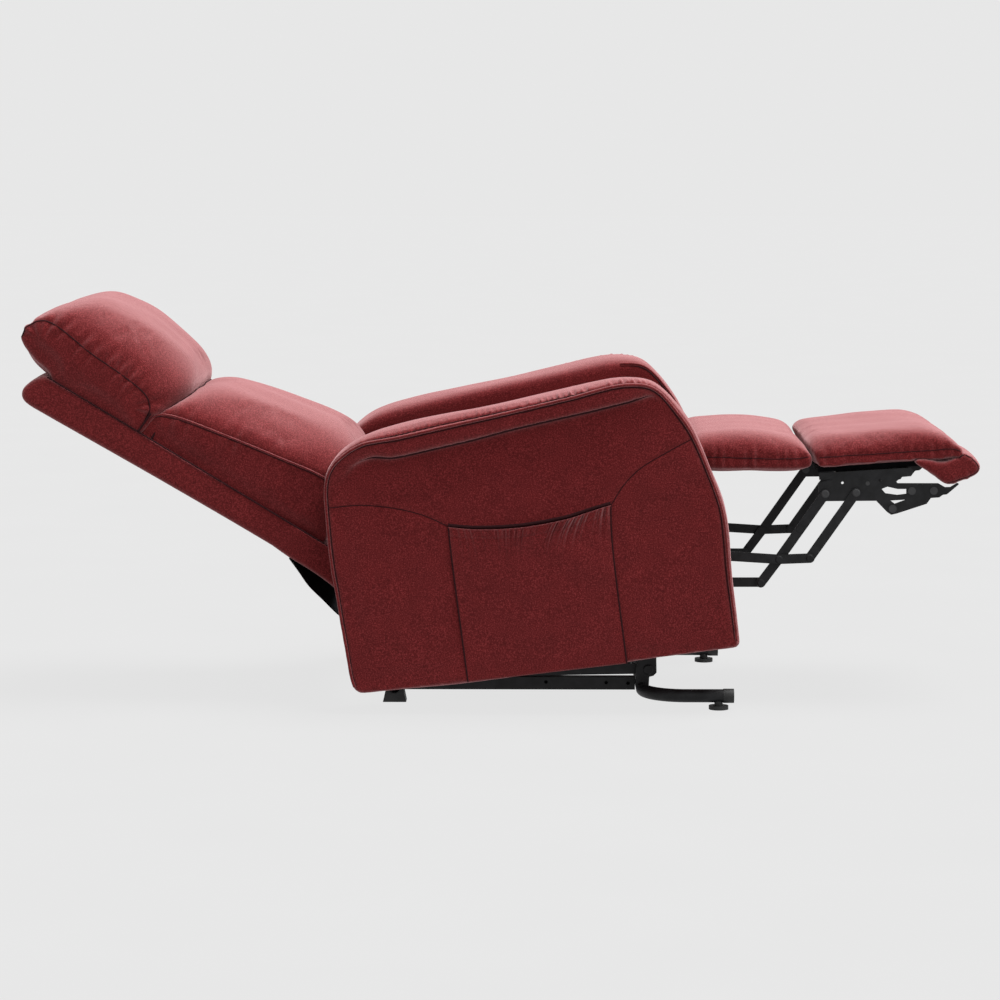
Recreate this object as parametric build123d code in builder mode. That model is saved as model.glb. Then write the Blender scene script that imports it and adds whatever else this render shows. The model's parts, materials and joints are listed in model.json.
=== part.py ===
"""Lift recliner chair, reclined with its footrest out.

Millimetres. +X is the way the sitter faces, +Y is the sitter's left, +Z is up, and the floor is Z = 0.
Three slanted frames hold the moving assemblies:
  chassis frame   u forward and v up along the tilted seat body, from the arms' rear bottom corner
  back frame      s up the back and n out of its cushion, from the recline axle
  footrest frame  f forward and h up from the rear lower edge of the foot pad
A "layer" is a pair of distances from the chair's middle plane, the inner face and the outer face
of a plate; the same plate stands on both sides of the chair.
"""

import math
import os

from build123d import *

os.makedirs("parts", exist_ok=True)

# ---------------------------------------------------------------- driving dimensions
CHASSIS_TILT = 7.49
CHASSIS_ORIGIN = (-270.2, 44.4)
RECLINE_AXLE = (65, 170)
BACK_ANGLE = 141.3
FOOTREST_ORIGIN = (908, 291)
FOOTREST_ANGLE = -4

FLOOR_TUBE_RADIUS = 12.5
TUBE_WALL = 1.5
FRONT_TUBE_X = 270
LEG_END_X = 440
LEG_Y = 290
FLOOR_TUBE_Z = 25.2
REAR_TUBE = (-203, 30.5)
RAIL_Y = 150

ARM_INNER_Y = 250
ARM_OUTER_Y = 360
ARM_ROLL_Y = 384.5
POCKET_DEPTH = 18
POCKET_FABRIC = 3
ROLL_EDGE_V = 476
SEAT_HALF_WIDTH = 245
FRAME_HALF_WIDTH = 218

# layers of the steel side plates and the footrest linkage, from the inside out
SEAT_PLATE = (218, 221.5)
LINK_D_LAYER = (224.5, 227.5)
BRACKET_LAYER = (229.5, 232.5)
LINK_AB_LAYER = (234.5, 237.5)
LINK_C_LAYER = (239.5, 242.5)
# layers of the lift mechanism
RISER_LAYER = (186, 190)
LOWER_LINK_LAYER = (192, 196)
UPPER_LINK_LAYER = (198, 202)
LIFT_BRACKET_LAYER = (204, 209)

BAR_WIDTH = 18
PIN_RADIUS = 4
HOLE_RADIUS = 4.05
HEAD_RADIUS = 7.5
HEAVY_PIN_RADIUS = 6
HEAVY_HOLE_RADIUS = 6.05
HEAVY_HEAD_RADIUS = 10
OPEN_STUD_RADIUS = 3
OPEN_HOLE_RADIUS = 9
OPEN_EYE_RADIUS = 14

# footrest linkage pivots, chassis frame
PIVOT_R0 = (780.7, 87.5)
PIVOT_R1 = (820.1, 128.3)
PIVOT_R2 = (878.2, 123.0)
PIVOT_E1 = (922.0, 239.9)
PIVOT_E2 = (PIVOT_E1[0] + PIVOT_R2[0] - PIVOT_R1[0], PIVOT_E1[1] + PIVOT_R2[1] - PIVOT_R1[1])
PIVOT_C = (700, 310)
PIVOT_D = (PIVOT_C[0] + PIVOT_R0[0] - PIVOT_R1[0], PIVOT_C[1] + PIVOT_R0[1] - PIVOT_R1[1])

# lift mechanism pivots, floor frame (x, z)
LIFT_B1 = (281, 62)
LIFT_B2 = (281, 105)
LIFT_L1 = (-120, 70)
LIFT_L2 = (-34.916, 110)
TILT_PIVOT = (-197, 75)
LIFT_MOTOR_PIVOT = (-170, 42)
LIFT_PUSH = (210, 85)
RISER_FRONT = (130, 112)
RISER_REAR = (-178, 86)

# recline drive, chassis frame
CHASSIS_REAR_TUBE = (150, 125)
CHASSIS_FRONT_TUBE = (430, 95)
RECLINE_MOTOR_PIVOT = (395, 95)
RECLINE_LEVER = (95, 85)
AXLE_RADIUS = 10


# ---------------------------------------------------------------- frames and helpers
def direction(degrees):
    return (math.cos(math.radians(degrees)), math.sin(math.radians(degrees)))


def turned(point, origin, degrees):
    """A point of a frame that is turned by some degrees, as a point of the frame it stands in."""
    c, s = direction(degrees)
    return (origin[0] + point[0] * c - point[1] * s, origin[1] + point[0] * s + point[1] * c)


def on_floor(point):
    """Chassis (u, v) as floor (x, z)."""
    return turned(point, CHASSIS_ORIGIN, CHASSIS_TILT)


def chassis_height(point):
    """How far a point of the floor frame is up along the chassis."""
    return turned((point.X - CHASSIS_ORIGIN[0], point.Z - CHASSIS_ORIGIN[1]), (0, 0), -CHASSIS_TILT)[1]


def upright_plane(origin, degrees, y):
    """Plane parallel to the middle plane, its x axis leaning by some degrees, facing -Y."""
    c, s = direction(degrees)
    return Plane(origin=(origin[0], y, origin[1]), x_dir=(c, 0, s), z_dir=(0, -1, 0))


def floor_plane(y):
    return upright_plane((0, 0), 0, y)


def chassis_plane(y):
    return upright_plane(CHASSIS_ORIGIN, CHASSIS_TILT, y)


def back_plane(y):
    """s runs up the back and n out of the cushion; it faces +Y."""
    c, s = direction(CHASSIS_TILT + BACK_ANGLE)
    x, z = on_floor(RECLINE_AXLE)
    return Plane(origin=(x, y, z), x_dir=(c, 0, s), z_dir=(0, 1, 0))


def footrest_plane(y):
    return upright_plane(on_floor(FOOTREST_ORIGIN), CHASSIS_TILT + FOOTREST_ANGLE, y)


def pair(plane_at, layer):
    """The planes from which a layer is pulled on the near side and the far side."""
    return plane_at(-layer[0]), plane_at(layer[1])


def thickness(layer):
    return layer[1] - layer[0]


def keep(builder, name):
    builder.part.label = name
    export_step(builder.part, f"parts/{name}.step")


def keep_both_sides(builder, name):
    """Writes the near-side piece as NAME_right and its mirror image as NAME_left."""
    keep(builder, f"{name}_right")
    other = mirror(builder.part, about=Plane.XZ)
    other.label = f"{name}_left"
    export_step(other, f"parts/{name}_left.step")


def outline(points, rounding=0.0):
    """A closed outline in the current sketch, with its corners rounded."""
    with BuildLine() as border:
        if rounding:
            FilletPolyline(*points, radius=rounding, close=True)
        else:
            Polyline(*points, close=True)
    make_face(border.edges())


def holes(points, radius):
    with Locations(*points):
        Circle(radius, mode=Mode.SUBTRACT)


def slab(plane_at, half_width, points, rounding=0.0):
    """Adds a profile pulled from one side of the chair to the other."""
    faces_near = plane_at(0).z_dir.Y < 0
    with BuildSketch(plane_at(half_width if faces_near else -half_width)) as profile:
        outline(points, rounding)
    extrude(profile.sketch, amount=2 * half_width)


def cross_tube(plane_at, centre, radius, half_width, wall=2.0):
    """Adds a tube across the chair."""
    with BuildSketch(plane_at(half_width)) as ring:
        with Locations(centre):
            Circle(radius)
            Circle(radius - wall, mode=Mode.SUBTRACT)
    extrude(ring.sketch, amount=2 * half_width)


def bar_link(plane_at, layer, route, pivots, hole_radius, width=BAR_WIDTH):
    """Adds a flat bar that follows a route on both sides of the chair, with a hole at each pivot."""
    with BuildSketch(*pair(plane_at, layer)) as profile:
        with BuildLine():
            Polyline(*route)
        trace(line_width=width)
        with Locations(*route):
            Circle(width / 2)
        holes(pivots, hole_radius)
    extrude(profile.sketch, amount=thickness(layer))


def discs(plane_at, layer, centres, radius):
    """Adds a round disc or shaft at each centre on both sides of the chair."""
    with BuildSketch(*pair(plane_at, layer)) as profile:
        with Locations(*centres):
            Circle(radius)
    extrude(profile.sketch, amount=thickness(layer))


def rivet(plane_at, centres, inner_head, outer_head, radius=PIN_RADIUS, head_radius=HEAD_RADIUS):
    """Adds pins with a head at each end; a head is given as its layer, and the outer one is bevelled."""
    discs(plane_at, (inner_head[1], outer_head[0]), centres, radius)
    discs(plane_at, inner_head, centres, head_radius)
    discs(plane_at, outer_head, centres, head_radius)
    rim = [
        edge for edge in edges().filter_by(GeomType.CIRCLE)
        if abs(edge.radius - head_radius) < 0.01 and abs(abs(edge.arc_center.Y) - outer_head[1]) < 0.01
    ]
    chamfer(rim, 0.7 * thickness(outer_head), 2.2)


# ---------------------------------------------------------------- base on the floor
LEG_BEND_RADIUS = 80
CAP_LENGTH = 20
CAP_WALL = 1
with BuildPart() as base_front_tube:
    with BuildLine(Plane.XY.offset(FLOOR_TUBE_Z)) as tube_path:
        FilletPolyline(
            (LEG_END_X - 2, -LEG_Y), (FRONT_TUBE_X, -LEG_Y),
            (FRONT_TUBE_X, LEG_Y), (LEG_END_X - 2, LEG_Y),
            radius=LEG_BEND_RADIUS,
        )
    with BuildSketch(Plane(origin=(LEG_END_X - 2, -LEG_Y, FLOOR_TUBE_Z), z_dir=(-1, 0, 0))):
        Circle(FLOOR_TUBE_RADIUS)
        Circle(FLOOR_TUBE_RADIUS - TUBE_WALL, mode=Mode.SUBTRACT)
    sweep(path=tube_path.wires()[0])
keep(base_front_tube, "base_front_tube")

with BuildPart() as tube_end_caps:
    cap_start = LEG_END_X - CAP_LENGTH
    for leg_y in (-LEG_Y, LEG_Y):
        with BuildSketch(Plane(origin=(cap_start, leg_y, FLOOR_TUBE_Z), z_dir=(1, 0, 0))):
            Circle(FLOOR_TUBE_RADIUS + CAP_WALL)
            Circle(FLOOR_TUBE_RADIUS, mode=Mode.SUBTRACT)
        extrude(amount=CAP_LENGTH - 2)
        with BuildSketch(Plane(origin=(LEG_END_X - 2, leg_y, FLOOR_TUBE_Z), z_dir=(1, 0, 0))):
            Circle(FLOOR_TUBE_RADIUS + CAP_WALL)
        extrude(amount=2)
keep(tube_end_caps, "tube_end_caps")

FOOT_X = 411.2
FOOT_RADIUS = 18.5
FOOT_STEM_RADIUS = 8
with BuildPart() as leveling_feet:
    for leg_y in (-LEG_Y, LEG_Y):
        with BuildSketch(Plane.XY):
            with Locations((FOOT_X, leg_y)):
                Circle(FOOT_RADIUS)
        extrude(amount=7)
        with BuildSketch(Plane.XY.offset(7)):
            with Locations((FOOT_X, leg_y)):
                Circle(FOOT_STEM_RADIUS)
        extrude(amount=10)
        with BuildSketch(Plane(origin=(FOOT_X - 30, leg_y, FLOOR_TUBE_Z), z_dir=(1, 0, 0))):
            Circle(FLOOR_TUBE_RADIUS)
        extrude(amount=60, mode=Mode.SUBTRACT)
keep(leveling_feet, "leveling_feet")

RAIL_START_X = REAR_TUBE[0] + FLOOR_TUBE_RADIUS
RAIL_END_X = FRONT_TUBE_X - FLOOR_TUBE_RADIUS
RAIL_BOTTOM_Z = 13.4
RAIL_TOP_Z = 37.5
RAIL_WIDTH = 25
RAIL_HEIGHT = RAIL_TOP_Z - RAIL_BOTTOM_Z
RAIL_WALL = 2
with BuildPart() as base_rail:
    with BuildSketch(Plane(origin=(RAIL_START_X, 0, 0), x_dir=(0, 1, 0), z_dir=(1, 0, 0))):
        with Locations((-RAIL_Y + RAIL_WIDTH / 2, (RAIL_BOTTOM_Z + RAIL_TOP_Z) / 2)):
            Rectangle(RAIL_WIDTH, RAIL_HEIGHT)
            Rectangle(RAIL_WIDTH - 2 * RAIL_WALL, RAIL_HEIGHT - 2 * RAIL_WALL, mode=Mode.SUBTRACT)
    extrude(amount=RAIL_END_X - RAIL_START_X)
    with BuildSketch(floor_plane(-RAIL_Y + RAIL_WALL)):
        with Locations((-150, 28), (86, 28), (202, 27), (244, 26)):
            Circle(3.5)
    extrude(amount=RAIL_WALL, mode=Mode.SUBTRACT)
keep_both_sides(base_rail, "base_side_rail")

with BuildPart() as base_rear_tube:
    cross_tube(floor_plane, REAR_TUBE, FLOOR_TUBE_RADIUS, 232, TUBE_WALL)
keep(base_rear_tube, "base_rear_tube")

with BuildPart() as rear_feet:
    for foot_y in (-200, 200):
        with BuildSketch(floor_plane(foot_y + 19)):
            outline([(-225.5, 0), (-181, 0), (-186, 24), (-220, 24)])
        extrude(amount=38)
    with BuildSketch(floor_plane(230)):
        with Locations(REAR_TUBE):
            Circle(FLOOR_TUBE_RADIUS)
    extrude(amount=460, mode=Mode.SUBTRACT)
keep(rear_feet, "rear_feet")

with BuildPart() as lift_brackets:
    with BuildSketch(*pair(floor_plane, LIFT_BRACKET_LAYER)):
        outline([
            (258, 24), (282, 24), (283, 48), (291, 50), (297, 56), (296, 112), (288, 119), (272, 119),
            (266, 108), (257, 60)], 2)
        with Locations((FRONT_TUBE_X, FLOOR_TUBE_Z)):
            Circle(FLOOR_TUBE_RADIUS, mode=Mode.SUBTRACT)
        holes([LIFT_B1, LIFT_B2], HEAVY_PIN_RADIUS)
    extrude(amount=thickness(LIFT_BRACKET_LAYER))
    rivet(floor_plane, [LIFT_B1], (188.5, 191.7), (209, 213), HEAVY_PIN_RADIUS, HEAVY_HEAD_RADIUS)
    rivet(floor_plane, [LIFT_B2], (194.5, 197.7), (209, 213), HEAVY_PIN_RADIUS, HEAVY_HEAD_RADIUS)
keep(lift_brackets, "lift_brackets")

MOTOR_EAR_LAYER = (13, 17)
with BuildPart() as base_motor_ears:
    with BuildSketch(*pair(floor_plane, MOTOR_EAR_LAYER)):
        outline([(-200, 20), (-168, 30), (-160, 40), (-162, 50), (-172, 53), (-200, 44)], 2)
        with Locations(REAR_TUBE):
            Circle(FLOOR_TUBE_RADIUS, mode=Mode.SUBTRACT)
        holes([LIFT_MOTOR_PIVOT], HEAVY_HOLE_RADIUS)
    extrude(amount=thickness(MOTOR_EAR_LAYER))
    with BuildSketch(floor_plane(20)):
        with Locations(LIFT_MOTOR_PIVOT):
            Circle(HEAVY_PIN_RADIUS)
    extrude(amount=40)
keep(base_motor_ears, "base_motor_ears")

# ---------------------------------------------------------------- lift linkage
with BuildPart() as lift_lower_links:
    bar_link(floor_plane, LOWER_LINK_LAYER, [LIFT_L1, (60, 58), LIFT_B1], [LIFT_L1, LIFT_B1],
             HEAVY_HOLE_RADIUS, 20)
    with BuildSketch(*pair(floor_plane, LOWER_LINK_LAYER)):
        outline([(190, 58), (230, 58), (221, 92), (199, 92)], 3)
    extrude(amount=thickness(LOWER_LINK_LAYER))
    cross_tube(floor_plane, LIFT_PUSH, 9, LOWER_LINK_LAYER[0])
keep(lift_lower_links, "lift_lower_links")

with BuildPart() as lift_upper_links:
    bar_link(floor_plane, UPPER_LINK_LAYER, [LIFT_L2, LIFT_B2], [LIFT_B2], HEAVY_HOLE_RADIUS)
    with BuildSketch(*pair(floor_plane, UPPER_LINK_LAYER)):
        with Locations(LIFT_L2):
            Circle(OPEN_EYE_RADIUS)
    extrude(amount=thickness(UPPER_LINK_LAYER))
    with BuildSketch(*pair(floor_plane, UPPER_LINK_LAYER)):
        with Locations(LIFT_L2):
            Circle(OPEN_HOLE_RADIUS)
    extrude(amount=thickness(UPPER_LINK_LAYER), mode=Mode.SUBTRACT)
keep(lift_upper_links, "lift_upper_links")

with BuildPart() as riser_plates:
    with BuildSketch(*pair(floor_plane, RISER_LAYER)):
        for centre in (TILT_PIVOT, LIFT_L1, RISER_FRONT, LIFT_L2):
            with Locations(centre):
                Circle(14)
        make_hull()
        holes([TILT_PIVOT, LIFT_L1], HEAVY_HOLE_RADIUS)
    extrude(amount=thickness(RISER_LAYER))
keep(riser_plates, "riser_plates")

with BuildPart() as riser_tubes:
    cross_tube(floor_plane, RISER_FRONT, 10, RISER_LAYER[0])
    cross_tube(floor_plane, RISER_REAR, 9, RISER_LAYER[0])
keep(riser_tubes, "riser_tubes")

with BuildPart() as riser_pins:
    rivet(floor_plane, [LIFT_L1], (182.5, 186), (196.3, 197.7), HEAVY_PIN_RADIUS, HEAVY_HEAD_RADIUS)
    rivet(floor_plane, [TILT_PIVOT], (182.5, 186), (196.3, 200), HEAVY_PIN_RADIUS, HEAVY_HEAD_RADIUS)
    # the upper link's rear end is the linkage's open pivot: a thin stud with room in a larger hole
    discs(floor_plane, (190, 203), [LIFT_L2], OPEN_STUD_RADIUS)
keep(riser_pins, "riser_pins")

# ---------------------------------------------------------------- drives
TUBE_RADIUS = 15
ROD_RADIUS = 8


def drive_angle(start, end):
    return math.degrees(math.atan2(end[1] - start[1], end[0] - start[0]))


def drive_plane(origin, degrees, distance=0.0):
    """Cross-section plane of a drive at a distance along its line; its x axis is +Y."""
    c, s = direction(degrees)
    place = (origin[0] + c * distance, 0, origin[1] + s * distance)
    return Plane(origin=place, x_dir=(0, 1, 0), z_dir=(c, 0, s))


def add_length(plane, length, radius, mode=Mode.ADD):
    with BuildSketch(plane) as profile:
        Circle(radius)
    extrude(profile.sketch, amount=length, mode=mode)


def add_block(plane, length, width, height, offset=(0, 0)):
    with BuildSketch(plane) as profile:
        with Locations(offset):
            Rectangle(width, height)
    extrude(profile.sketch, amount=length)


def drive_housing(pivot, degrees, motor_side):
    """Gear housing with the eye that turns on the drive's rear pin, and its motor can across it."""
    with BuildPart() as housing:
        add_block(drive_plane(pivot, degrees, 14), 52, 44, 40)
        add_block(drive_plane(pivot, degrees, -9), 23, 22, 18)
        fillet(housing.edges().filter_by(Axis.Y).sort_by(SortBy.LENGTH)[-4:], 3)
        with BuildSketch(upright_plane(pivot, 0, 20)):
            Circle(HEAVY_HOLE_RADIUS)
        extrude(amount=40, mode=Mode.SUBTRACT)
        c, s = direction(degrees)
        centre = (pivot[0] + c * 40, pivot[1] + s * 40)
        with BuildSketch(upright_plane(centre, degrees, 102 if motor_side > 0 else -22)):
            Circle(17)
        extrude(amount=80)
    return housing


def drive_tube(pivot, degrees, length):
    with BuildPart() as tube:
        add_length(drive_plane(pivot, degrees, 66), length, TUBE_RADIUS)
        add_length(drive_plane(pivot, degrees, 66), length, ROD_RADIUS + 1, Mode.SUBTRACT)
    return tube


def drive_rod(pivot, degrees, start, reach, slot_height):
    """Push rod; the slot in its head is the drive's open pivot and has room around the pin."""
    c, s = direction(degrees)
    head = (pivot[0] + c * reach, pivot[1] + s * reach)
    with BuildPart() as rod:
        add_length(drive_plane(pivot, degrees, start), reach - start - 20, ROD_RADIUS)
        with BuildSketch(upright_plane(head, degrees, 7)):
            Rectangle(42, 2 * slot_height + 10)
            Rectangle(2 * (slot_height - 4), 2 * slot_height, mode=Mode.SUBTRACT)
        extrude(amount=14)
    return rod


lift_angle = drive_angle(LIFT_MOTOR_PIVOT, LIFT_PUSH)
lift_reach = math.dist(LIFT_MOTOR_PIVOT, LIFT_PUSH)
keep(drive_housing(LIFT_MOTOR_PIVOT, lift_angle, 1), "lift_drive_housing")
keep(drive_tube(LIFT_MOTOR_PIVOT, lift_angle, 210), "lift_drive_tube")
keep(drive_rod(LIFT_MOTOR_PIVOT, lift_angle, 120, lift_reach, 19), "lift_drive_rod")

recline_pivot = on_floor(RECLINE_MOTOR_PIVOT)
recline_lever = on_floor(RECLINE_LEVER)
recline_angle = drive_angle(recline_pivot, recline_lever)
recline_reach = math.dist(recline_pivot, recline_lever)
keep(drive_housing(recline_pivot, recline_angle, -1), "recline_drive_housing")
keep(drive_tube(recline_pivot, recline_angle, 150), "recline_drive_tube")
keep(drive_rod(recline_pivot, recline_angle, 105, recline_reach, 13), "recline_drive_rod")

# ---------------------------------------------------------------- chassis: steel and seat
with BuildPart() as seat_side_plate:
    with BuildSketch(chassis_plane(-SEAT_PLATE[0])):
        outline([
            (48, 60), (590, 50), (634, 95), (642, 250), (663, 257), (682, 299), (708, 301), (707, 318),
            (690, 320), (600, 316), (104, 316), (48, 284),
        ], 3)
        holes([PIVOT_C, PIVOT_D], HOLE_RADIUS)
        holes([RECLINE_AXLE], AXLE_RADIUS + 0.05)
    extrude(amount=thickness(SEAT_PLATE))
keep_both_sides(seat_side_plate, "seat_side_plate")

with BuildPart() as chassis_cross_tubes:
    cross_tube(chassis_plane, CHASSIS_REAR_TUBE, FLOOR_TUBE_RADIUS, FRAME_HALF_WIDTH)
    cross_tube(chassis_plane, CHASSIS_FRONT_TUBE, FLOOR_TUBE_RADIUS, FRAME_HALF_WIDTH)
keep(chassis_cross_tubes, "chassis_cross_tubes")

tilt_pivot_u = (TILT_PIVOT[0] - CHASSIS_ORIGIN[0], TILT_PIVOT[1] - CHASSIS_ORIGIN[1])
tilt_pivot = turned(tilt_pivot_u, (0, 0), -CHASSIS_TILT)
with BuildPart() as tilt_hangers:
    with BuildSketch(*pair(chassis_plane, LOWER_LINK_LAYER)):
        for centre, radius in ((tilt_pivot, 13), (CHASSIS_REAR_TUBE, 18)):
            with Locations(centre):
                Circle(radius)
        make_hull()
        holes([tilt_pivot], HEAVY_HOLE_RADIUS)
        holes([CHASSIS_REAR_TUBE], FLOOR_TUBE_RADIUS)
    extrude(amount=thickness(LOWER_LINK_LAYER))
keep(tilt_hangers, "tilt_hangers")

with BuildPart() as recline_motor_ears:
    with BuildSketch(*pair(chassis_plane, MOTOR_EAR_LAYER)):
        for centre, radius in ((RECLINE_MOTOR_PIVOT, 12), (CHASSIS_FRONT_TUBE, 17)):
            with Locations(centre):
                Circle(radius)
        make_hull()
        holes([RECLINE_MOTOR_PIVOT], HEAVY_HOLE_RADIUS)
        holes([CHASSIS_FRONT_TUBE], FLOOR_TUBE_RADIUS)
    extrude(amount=thickness(MOTOR_EAR_LAYER))
    with BuildSketch(chassis_plane(20)):
        with Locations(RECLINE_MOTOR_PIVOT):
            Circle(HEAVY_PIN_RADIUS)
    extrude(amount=40)
keep(recline_motor_ears, "recline_motor_ears")

with BuildPart() as seat_rails:
    slab(chassis_plane, FRAME_HALF_WIDTH, [(600, 262), (628, 262), (628, 300), (600, 300)])
    slab(chassis_plane, FRAME_HALF_WIDTH, [(172, 250), (200, 250), (200, 300), (172, 300)])
keep(seat_rails, "seat_rails")

SPRING_COUNT = 5
SPRING_PITCH = 76
SPRING_TURNS = 14
with BuildPart() as seat_springs:
    c_tilt, s_tilt = direction(CHASSIS_TILT)
    spring_x, spring_z = on_floor((172, 300.3))
    spring_plane = Plane(origin=(spring_x, 0, spring_z), x_dir=(c_tilt, 0, s_tilt),
                         z_dir=(-s_tilt, 0, c_tilt))
    step = (628 - 172) / (SPRING_TURNS + 1)
    for row in range(SPRING_COUNT):
        middle = (row - (SPRING_COUNT - 1) / 2) * SPRING_PITCH
        with BuildSketch(spring_plane):
            with BuildLine():
                zigzag = [(step * (i + 0.5), middle + (22 if i % 2 else -22))
                          for i in range(SPRING_TURNS + 1)]
                FilletPolyline((0, middle), *zigzag, (628 - 172, middle), radius=6)
            trace(line_width=4)
        extrude(amount=4)
keep(seat_springs, "seat_springs")

with BuildPart() as seat_deck:
    slab(chassis_plane, 214, [(172, 304.8), (628, 304.8), (628, 308), (172, 308)])
keep(seat_deck, "seat_deck")

SEAT_CUSHION_BACK = 238
SEAT_CUSHION_FRONT = 704
with BuildPart() as seat_cushion:
    slab(chassis_plane, 214, [
        (SEAT_CUSHION_BACK, 308.3), (628, 308.3), (628, 330), (SEAT_CUSHION_BACK, 330)])
    slab(chassis_plane, SEAT_HALF_WIDTH, [
        (SEAT_CUSHION_BACK, 327), (SEAT_CUSHION_FRONT - 12, 327), (SEAT_CUSHION_FRONT, 345),
        (SEAT_CUSHION_FRONT, 366), (SEAT_CUSHION_FRONT - 40, 388), (600, 396),
        (SEAT_CUSHION_BACK + 40, 398), (SEAT_CUSHION_BACK, 380)], 8)
keep(seat_cushion, "seat_cushion")

with BuildPart() as arm_brackets:
    with BuildSketch(*pair(chassis_plane, (SEAT_PLATE[1], ARM_INNER_Y))):
        with Locations((200, 120), (430, 120), (200, 270), (430, 270)):
            Rectangle(60, 34)
    extrude(amount=ARM_INNER_Y - SEAT_PLATE[1])
keep(arm_brackets, "arm_brackets")

with BuildPart() as footrest_pivot_pins:
    rivet(chassis_plane, [PIVOT_C], (215.5, 218), (242.8, 245), PIN_RADIUS, HEAD_RADIUS)
    discs(chassis_plane, (221.5, 239.2), [PIVOT_C], PIN_RADIUS + 2)
    rivet(chassis_plane, [PIVOT_D], (215.5, 218), (227.8, 229.2), PIN_RADIUS, HEAD_RADIUS)
keep(footrest_pivot_pins, "footrest_pivot_pins")

# ---------------------------------------------------------------- chassis: arms and pockets
with BuildPart() as arm_panel:
    with BuildSketch(chassis_plane(-ARM_INNER_Y)):
        outline([
            (14, -8), (212, -11), (380, -14), (507, -13.5), (715, -10.5), (721, -4), (724, 137),
            (727, 253), (713, 317), (688, 397), (662, 446), (628, 477), (537, 466), (389, 448),
            (149, 425), (104, 422), (18, 414), (0, 396), (-5, 363), (-9, 179), (-8, 81), (-4, 6),
            (4, -5),
        ])
    extrude(amount=ARM_OUTER_Y - ARM_INNER_Y)
    chamfer(arm_panel.faces().sort_by(Axis.Y)[0].edges(), 4)
keep_both_sides(arm_panel, "arm_panel")

with BuildPart() as arm_top:
    with BuildSketch(chassis_plane(-ARM_INNER_Y)):
        outline([
            (18, 415), (104, 423), (149, 426), (389, 449), (537, 467), (628, 478), (662, 447),
            (644, 475), (626, 494), (606, 504), (577, 511), (544, 512), (459, 505), (338, 495),
            (204, 483), (97, 472), (40, 450),
        ])
    extrude(amount=ARM_ROLL_Y - ARM_INNER_Y)
    rim = arm_top.edges().group_by(Axis.Y)[0]
    fillet([edge for edge in rim if edge.length > 60 and chassis_height(edge @ 0.5) > ROLL_EDGE_V], 12)
keep_both_sides(arm_top, "arm_top")

POCKET_FLOOR_V = 60
with BuildPart() as pocket:
    with BuildSketch(chassis_plane(-ARM_OUTER_Y - POCKET_DEPTH)):
        outline([(211, 4), (509, 4), (516, 282), (430, 269), (345, 265), (275, 270), (214, 282)])
    extrude(amount=POCKET_FABRIC)
    with BuildSketch(chassis_plane(-ARM_OUTER_Y)):
        outline([
            (211, 4), (509, 4), (516, 282), (509, 281), (503, POCKET_FLOOR_V),
            (217, POCKET_FLOOR_V), (220, 281), (214, 282),
        ])
    extrude(amount=POCKET_DEPTH)
keep_both_sides(pocket, "pocket")

HANDSET_INNER_Y = ARM_OUTER_Y + 1
HANDSET_SPLIT_Y = HANDSET_INNER_Y + 7
HANDSET_OUTER_Y = HANDSET_SPLIT_Y + 8
HANDSET_OUTLINE = [(238, 150), (280, 150), (284, 318), (234, 318)]
BUTTONS = [(259, 302), (259, 284)]
BUTTON_RADIUS = 6.5
with BuildPart() as handset_back:
    with BuildSketch(chassis_plane(HANDSET_SPLIT_Y)):
        outline(HANDSET_OUTLINE, 8)
    extrude(amount=HANDSET_SPLIT_Y - HANDSET_INNER_Y)
    with BuildSketch(chassis_plane(HANDSET_SPLIT_Y)):
        outline([(254, 150), (264, 150), (262, 134), (256, 134)])
    extrude(amount=HANDSET_SPLIT_Y - HANDSET_INNER_Y)
keep(handset_back, "handset_back")

with BuildPart() as handset_front:
    with BuildSketch(chassis_plane(HANDSET_OUTER_Y)):
        outline(HANDSET_OUTLINE, 8)
        holes(BUTTONS, BUTTON_RADIUS + 0.3)
    extrude(amount=HANDSET_OUTER_Y - HANDSET_SPLIT_Y)
keep(handset_front, "handset_front")

for button_name, button_place in zip(("button_up", "button_down"), BUTTONS):
    with BuildPart() as button:
        with BuildSketch(chassis_plane(HANDSET_OUTER_Y + 1.5)):
            with Locations(button_place):
                Circle(BUTTON_RADIUS)
        extrude(amount=8)
    keep(button, f"handset_{button_name}")

with BuildPart() as control_box:
    with BuildSketch(chassis_plane(152)):
        outline([(162.5, 96), (250, 96), (250, 134), (162.5, 134)], 4)
    extrude(amount=92)
    with BuildSketch(chassis_plane(120)):
        outline([(250, 105), (256, 105), (256, 125), (250, 125)])
    extrude(amount=28)
    with BuildSketch(chassis_plane(117)):
        outline([(252, 108), (256, 108), (256, 122), (252, 122)])
    extrude(amount=22, mode=Mode.SUBTRACT)
keep(control_box, "control_box")

with BuildPart() as mid_pad:
    slab(chassis_plane, SEAT_HALF_WIDTH, [
        (712, 322), (730, 310), (900, 292), (906, 300), (903, 318), (870, 340), (800, 358),
        (725, 370), (712, 362)], 3)
keep(mid_pad, "mid_pad")

with BuildPart() as back_dust_cloth:
    slab(chassis_plane, ARM_INNER_Y, [(-90, 244), (-20, 138), (8, 118), (9, 120), (-18, 140), (-88, 246)])
keep(back_dust_cloth, "back_dust_cloth")

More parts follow.
